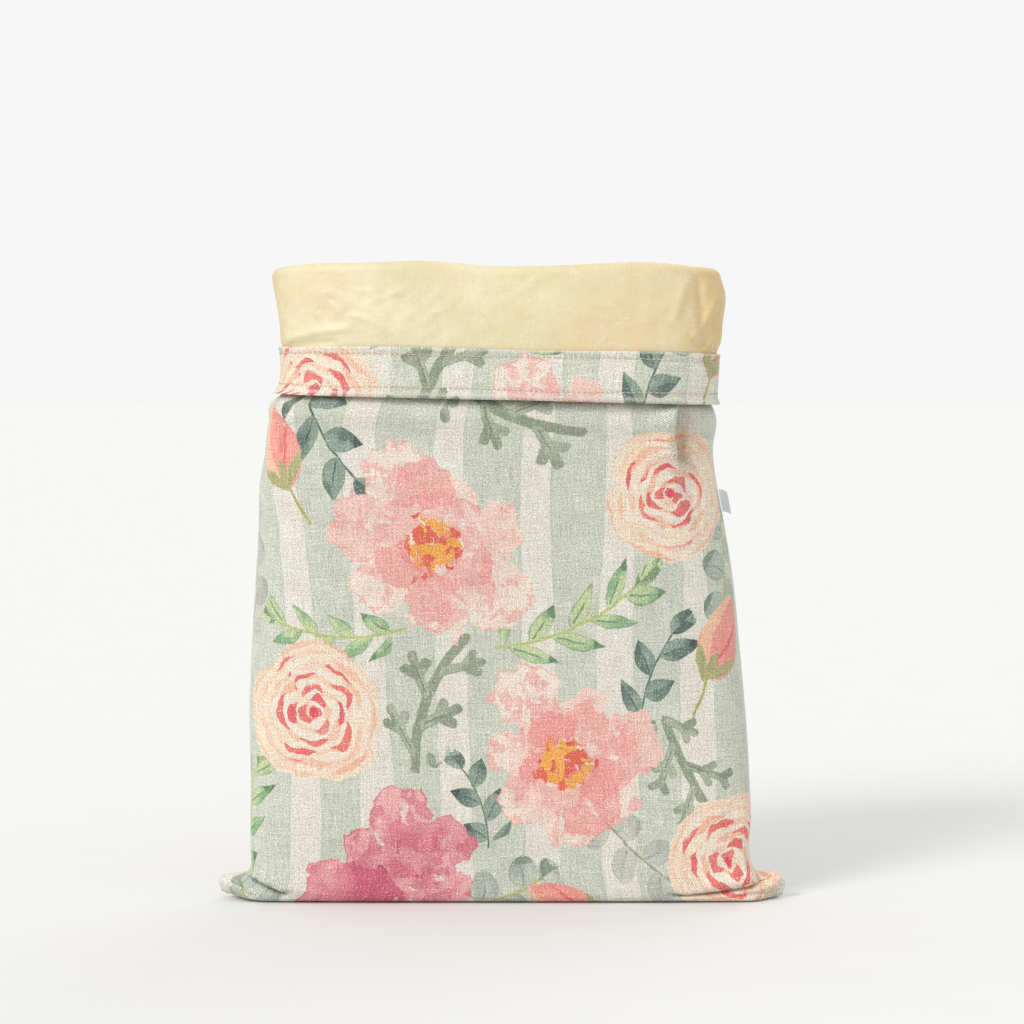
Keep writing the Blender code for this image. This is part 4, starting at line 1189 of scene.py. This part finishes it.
def labelTape():
    # satin tape with close fine ribs
    finish = Finish("labelTape")
    x, y, _ = finish.flatPlace().split()
    ribs = (y * (math.tau / 0.36)).sine()
    threads = finish.noise(finish.vector(x * 2.2, y * 0.5), 1.0, 2.0, 0.5)
    colour = finish.mix(threads, tint(222, 230, 238), tint(240, 244, 247))
    finish.set(Base_Color=finish.shade(colour, 1.0 + ribs * 0.05), Roughness=0.52 + (threads - 0.5) * 0.2,
               Sheen_Weight=0.3, Normal=finish.bump(ribs * 0.5 + threads, 0.35, 0.00010))
    return finish.material


def threadFinish(name, light, dark):
    # twisted thread, its two tones winding round it
    finish = Finish(name)
    x, y, z = finish.objectPlace().split()
    twist = ((x + z * 0.7 + y * 0.5) * (math.tau / 0.8)).sine()
    tone = finish.noise(finish.vector(x, y, z), 0.35, 2.0, 0.5, "Fac", "3D")
    colour = finish.mix(twist.eased(-0.8, 0.8) * 0.6 + tone * 0.4, dark, light)
    finish.set(Base_Color=colour, Roughness=0.72 + (tone - 0.5) * 0.2,
               Normal=finish.bump(twist, 0.4, 0.00008))
    return finish.material


# camera, floor and light

view = {"eye": (0.0054, -1.70, 0.289), "target": (0.0054, 0.0, 0.2088), "widthAtTarget": 0.551}

bpy.ops.object.camera_add(location=view["eye"])
camera = bpy.context.object
toTarget = Vector(view["target"]) - Vector(view["eye"])
camera.rotation_euler = toTarget.to_track_quat("-Z", "Y").to_euler()
camera.data.sensor_width = 36.0
camera.data.lens = 36.0 * toTarget.length / view["widthAtTarget"]
camera.data.clip_end = 30.0
bpy.context.scene.camera = camera
bpy.context.scene.view_settings.view_transform = "Standard"
bpy.context.scene.cycles.denoising_prefilter = "NONE"  # keeps the weave in the picture
print("camera in place")

studio = {"floorColour": tint(223, 223, 222), "world": 0.93, "key": 1.62, "keyAngle": 22.0, "rim": 0.35}


def studioFloor():
    # a flat floor that reaches well past the view
    bpy.ops.object.select_all(action="DESELECT")
    bpy.ops.mesh.primitive_plane_add(size=40.0, location=(0.0, 0.0, -0.0002))
    floor = bpy.context.object
    floor.name = "studioFloor"
    bpy.ops.object.mode_set(mode="EDIT")
    bpy.ops.mesh.subdivide(number_cuts=5)
    bpy.ops.object.mode_set(mode="OBJECT")
    finish = Finish("paintedFloor")
    tone = finish.noise(finish.objectPlace(), 0.02, 2.0, 0.5)
    finish.set(Base_Color=finish.shade(studio["floorColour"], 0.99 + tone * 0.02),
               Roughness=0.9, Specular_IOR_Level=0.1)
    floor.data.materials.append(finish.material)


def softSun(name, towards, strength, angle, colour):
    # wide light from far away, from the front left where towards is (-x, -y, z)
    bpy.ops.object.light_add(type="SUN", location=Vector(towards) * 3)
    lamp = bpy.context.object
    lamp.name = name
    lamp.rotation_euler = Vector(towards).to_track_quat("Z", "Y").to_euler()
    lamp.data.energy, lamp.data.angle, lamp.data.color = strength, math.radians(angle), colour


studioFloor()
softSun("keySun", (-0.66, -0.80, 0.66), studio["key"], studio["keyAngle"], (1.0, 0.985, 0.955))
softSun("backSun", (0.5, 0.9, 0.7), studio["rim"], 40.0, (0.98, 0.99, 1.0))
world = bpy.data.worlds.new("studioWorld")
world.use_nodes = True
world.node_tree.nodes["Background"].inputs["Color"].default_value = (1.0, 1.0, 1.0, 1.0)
world.node_tree.nodes["Background"].inputs["Strength"].default_value = studio["world"]
bpy.context.scene.world = world
print("floor and lights in place")


# the outer cloth: two panels, each up the wall, over the top, down as a leaf and up as the hem band

outerCloth = {
    "columns": 94,
    "footStep": 0.0009,      # between rows at the foot, on the wall and where the cuff hides it
    "wallStep": 0.0023,
    "hiddenStep": 0.0060,
    "foldRows": 11,
    "leafRows": 20,
    "rimRows": 9,
    "bandRows": 30,
    "neckReach": 0.0026,
    "hemThick": 0.0019,
    "hemReach": 0.0030,
    "hemFull": 0.0012,
    "edgeRound": 0.0009,
    "stitchLines": (0.0032, 0.0204),  # up from the rim
    "stitchGroove": 0.00022,
    "grooveReach": 0.0009,
}


def outerGrid(flat):
    wall = finerWall(wallGuide(flat), foldRow(flat, foldCentre, 0.0), outerCloth["wallStep"],
                     outerCloth["hiddenStep"], outerCloth["footStep"], outerCloth["neckReach"])
    halfTurns = np.linspace(0, math.pi, outerCloth["foldRows"])
    rows = wall + [foldRow(flat, foldCentre, turn) for turn in halfTurns]
    rows += [cuffRow(flat, bag["leafOffset"], part) for part in np.linspace(0, 1, outerCloth["leafRows"])[1:]]
    rows += [cuffRow(flat, cuffOffset - rimRadius * math.cos(turn), 1.0, -rimRadius * math.sin(turn))
             for turn in np.linspace(0, math.pi, outerCloth["rimRows"])[1:]]
    bandStart = len(rows) - 1
    bandParts = np.linspace(1.0, bandPart, outerCloth["bandRows"])[1:]
    rows += [cuffRow(flat, bandOffset, part) for part in bandParts]
    hidden = np.zeros(len(rows))
    hidden[len(wall):-outerCloth["bandRows"] - outerCloth["rimRows"] + 2] = 1
    return np.stack(rows), bandStart, hidden, np.arange(len(rows)) < len(wall)


def bandShape(grid, bandStart):
    # half the thickness of each row, with the turned hem at the top of the band
    places = rowLengths(grid)
    fromRim, fromEdge = places - places[bandStart], places[-1] - places
    thicker = (outerCloth["hemThick"] - bag["linenThick"]) / 2
    half = bag["linenThick"] / 2 + thicker * eased(fromEdge, outerCloth["hemReach"], outerCloth["hemFull"])
    half *= np.sqrt(1 - (1 - np.clip(fromEdge / outerCloth["edgeRound"], 0.06, 1.0)) ** 2)
    groove = sum(bell(fromRim - line, outerCloth["grooveReach"]) for line in outerCloth["stitchLines"])
    half -= outerCloth["stitchGroove"] * groove * (np.arange(len(places)) >= bandStart)
    return places, half


def makeOuterCloth():
    flat = flatColumns(outerCloth["columns"])
    grid, bandStart, hidden, wall = outerGrid(flat)
    places, half = bandShape(grid, bandStart)
    finish = printedLinen(places[bandStart] * 1000, places[-1] * 1000)
    outer, inner = skins(grid, half, flat)
    made = {}
    panels = (("outerFront", (0.0, 0.0), False), ("outerBack", linenPrint["backShift"], True))
    for name, shift, back in panels:
        pair = [settled(mirrored(skin)[:, ::-1] if back else skin, hidden[:, None], wall[:, None])
                for skin in (outer, inner)]
        piece, place, faces = sheetPiece(name, *pair, flat, places)
        placePrint(piece.data, place * 1000, faces, sprigPlaces, sprigTones, "sprig", sprigNarrow, shift)
        placePrint(piece.data, place * 1000, faces, bloomPlaces, bloomTones, "bloom", bloomNarrow, shift)
        piece.data.materials.append(finish)
        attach(piece, "root")
        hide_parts("outer_back" if back else "outer_front")
        made[name] = (piece, pair[0])
        print(name, len(piece.data.polygons) * 2, "triangles")
    return made, flat, places, bandStart


# the lining: one strip down the front, across the base and up the back, turned out at both ends

lining = {"columns": 74, "wallStep": 0.0048, "neckReach": 0.0050, "foldRows": 11, "cuffRows": 52}


def liningGrid(flat):
    step = lining["wallStep"]
    wall = finerWall(wallGuide(flat), foldRow(flat, foldCentre, 0.0), step, step, step, lining["neckReach"])
    wall = np.stack(wall)
    rows = list(wall - bag["liningInset"] * surfaceNormals(wall))
    radius = foldCentre + bag["liningInset"]
    rows += [foldRow(flat, radius, turn) for turn in np.linspace(0, math.pi, lining["foldRows"])]
    rows += [cuffRow(flat, cuffOffset, part) for part in np.linspace(0, 1, lining["cuffRows"])[1:-1]]
    rows.append(cuffRow(flat, cuffOffset, 1.0, bag["liningEnd"]))
    return np.stack(rows), np.arange(len(rows)) < len(wall)


def makeLining(finish):
    flat = flatColumns(lining["columns"])
    grid, wall = liningGrid(flat)
    wall = np.concatenate([wall[:0:-1], wall])
    half = np.full(len(grid), bag["liningThick"] / 2)
    halves = []
    for skin in skins(grid, half, flat):
        bottom = skin[:1] * np.array([1.0, 0.0, 1.0])
        strip = np.concatenate([mirrored(skin[1:])[::-1], bottom, skin[1:]])
        halves.append(settled(strip, wall[:, None], wall[:, None]))
    places = rowLengths(grid)
    along = np.concatenate([-places[:0:-1], places])
    piece, _, _ = sheetPiece("waxLining", *halves, flat, along)
    piece.data.materials.append(finish)
    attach(piece, "root")
    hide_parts("lining")
    print("lining", len(piece.data.polygons) * 2, "triangles,", round(2 * places[-1], 4), "m long")
    return piece, 2 * places[-1]


# the label: a short folded tape that stands out of the right seam

label = {"height": 0.0120, "reach": 0.0046, "thick": 0.0009, "level": 0.2152, "droop": 0.0016, "steps": 22}


def makeLabel(finish):
    steps = label["steps"]
    up, out = np.linspace(-0.5, 0.5, steps), np.linspace(0.0, 1.0, steps)
    height = (label["level"] + label["height"] * up)[:, None] * np.ones(steps)
    start = np.interp(height, column(wallRows, 0), column(wallRows, 2)) + bag["seamGap"]
    droop = label["droop"] * out[None, :] ** 2
    grid = np.stack([start + label["reach"] * out, -droop * np.ones_like(height), height - droop], axis=-1)
    half = label["thick"] / 2 * np.sqrt(np.clip(1 - out ** 6, 0.05, 1))[None, :, None]
    half = half * np.array([0.0, 1.0, 0.0])
    piece, _, _ = sheetPiece("seamLabel", settled(grid - half), settled(grid + half),
                             label["reach"] * out, label["height"] * up)
    piece.data.materials.append(finish)
    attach(piece, "root")
    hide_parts("label")
    return piece


# sewing: two rows of stitches round the hem band, and the overlocked ends at the side seams

stitches = {
    "length": 0.0023,
    "pitch": 0.0029,
    "radius": 0.00027,
    "sink": 0.00002,
    "sides": 6,
    "fromSeam": 0.0035,      # the rows stop this far from the side seams
    "wander": 0.00035,       # the rows wave up and down by this much
    "wanderLength": 0.021,
}
overlock = {
    "inset": 0.0006,         # from the side seam
    "middle": 0.0016,        # from there to the line that the thread swings about
    "swing": 0.0014,
    "turns": 10.5,
    "points": 90,
    "start": 0.0015,         # up from the rim
    "height": 0.0205,
    "lift": 0.00026,         # off the cloth, and how that changes over a turn
    "liftChange": 0.0001,
    "radius": 0.00022,
}


def onCloth(skin, flat, places, x, y):
    # the point and outward way of the cloth at a flat place
    column, row = np.interp(x, flat, np.arange(len(flat))), np.interp(y, places, np.arange(len(places)))
    c, r = min(int(column), len(flat) - 2), min(int(row), len(places) - 2)
    u, v = column - c, row - r
    corner = skin[r:r + 2, c:c + 2]
    below, above = (row[0] * (1 - u) + row[1] * u for row in corner)
    point = below * (1 - v) + above * v
    across = corner[:, 1].mean(axis=0) - corner[:, 0].mean(axis=0)
    rise = corner[1].mean(axis=0) - corner[0].mean(axis=0)
    out = np.cross(across, rise)
    return point, out / np.linalg.norm(out)


def tube(paths, radius, sides):
    # closed round threads along lists of points, with their ends drawn in
    points, faces = [], []
    for path in paths:
        path = np.array(path)
        ways = np.gradient(path, axis=0)
        base = len(points)
        for i, (place, way) in enumerate(zip(path, ways)):
            way = Vector(way).normalized()
            side = way.orthogonal().normalized() if i == 0 else (side - way * side.dot(way)).normalized()
            other = way.cross(side)
            end = 0.45 if i in (0, len(path) - 1) else 1.0
            for s in range(sides):
                turn = math.tau * s / sides
                out = side * math.cos(turn) + other * math.sin(turn)
                points.append(tuple(Vector(place) + out * radius * end))
        for i in range(len(path) - 1):
            for s in range(sides):
                a, b = base + i * sides + s, base + i * sides + (s + 1) % sides
                faces.append((a, b, b + sides, a + sides))
        faces.append(tuple(base + s for s in reversed(range(sides))))
        faces.append(tuple(base + (len(path) - 1) * sides + s for s in range(sides)))
    return points, faces


def threadPiece(name, paths, radius, sides, finish):
    points, faces = tube(paths, radius, sides)
    mesh = bpy.data.meshes.new(name)
    mesh.from_pydata(points, [], faces)
    mesh.shade_smooth()
    piece = bpy.data.objects.new(name, mesh)
    bpy.context.scene.collection.objects.link(piece)
    piece.data.materials.append(finish)
    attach(piece, "root")
    return piece


def hemStitches(skin, flat, places, bandStart, back):
    luck = np.random.default_rng(5 + back)
    half = bag["flatWidth"] / 2 - stitches["fromSeam"]
    paths = []
    for line in outerCloth["stitchLines"]:
        for middle in np.arange(-half, half, stitches["pitch"]):
            middle += luck.normal(0, 0.00008)
            wander = stitches["wander"] * math.sin(middle / stitches["wanderLength"] + line * 900)
            rise = places[bandStart] + line + wander + luck.normal(0, 0.00005)
            length, tilt = stitches["length"] * luck.uniform(0.86, 1.06), luck.normal(0, 0.00006)
            path = []
            for t in np.linspace(-1, 1, 6):
                point, out = onCloth(skin, flat, places, middle + t * length / 2, rise + tilt * t)
                path.append(point + out * (stitches["sink"] + stitches["radius"] * (1 - 1.6 * t ** 4)))
            paths.append(path)
    return paths


def seamStitches(skin, flat, places, bandStart, side):
    # a thread that runs over and over the end of the band
    luck = np.random.default_rng(21 + side)
    edge = side * (bag["flatWidth"] / 2 - overlock["inset"])
    path = []
    for part in np.linspace(0, 1, overlock["points"]):
        turn = part * math.tau * overlock["turns"]
        x = edge - side * (overlock["middle"] + overlock["swing"] * math.sin(turn))
        y = places[bandStart] + overlock["start"] + part * overlock["height"] + luck.normal(0, 0.0001)
        point, out = onCloth(skin, flat, places, x, y)
        path.append(point + out * (overlock["lift"] + overlock["liftChange"] * math.cos(2 * turn)))
    return path


sheets, flatOuter, outerPlaces, bandStart = makeOuterCloth()
liningPiece, liningLength = makeLining(waxedLining())
labelPiece = makeLabel(labelTape())

hemThread = threadFinish("hemThread", tint(226, 212, 190), tint(184, 150, 122))
seamThread = threadFinish("seamThread", tint(208, 84, 100), tint(176, 48, 66))
sewn = {}
for name, back in (("outerFront", 0), ("outerBack", 1)):
    piece, skin = sheets[name]
    paths = hemStitches(skin, flatOuter, outerPlaces, bandStart, back)
    ends = [seamStitches(skin, flatOuter, outerPlaces, bandStart, side) for side in (-1, 1)]
    sides = stitches["sides"]
    sewn[name] = [
        threadPiece("hemStitches" + name[5:], paths, stitches["radius"], sides, hemThread),
        threadPiece("seamStitches" + name[5:], ends, overlock["radius"], sides, seamThread),
    ]
print("sewing done")

sewn["outerFront"].append(labelPiece)
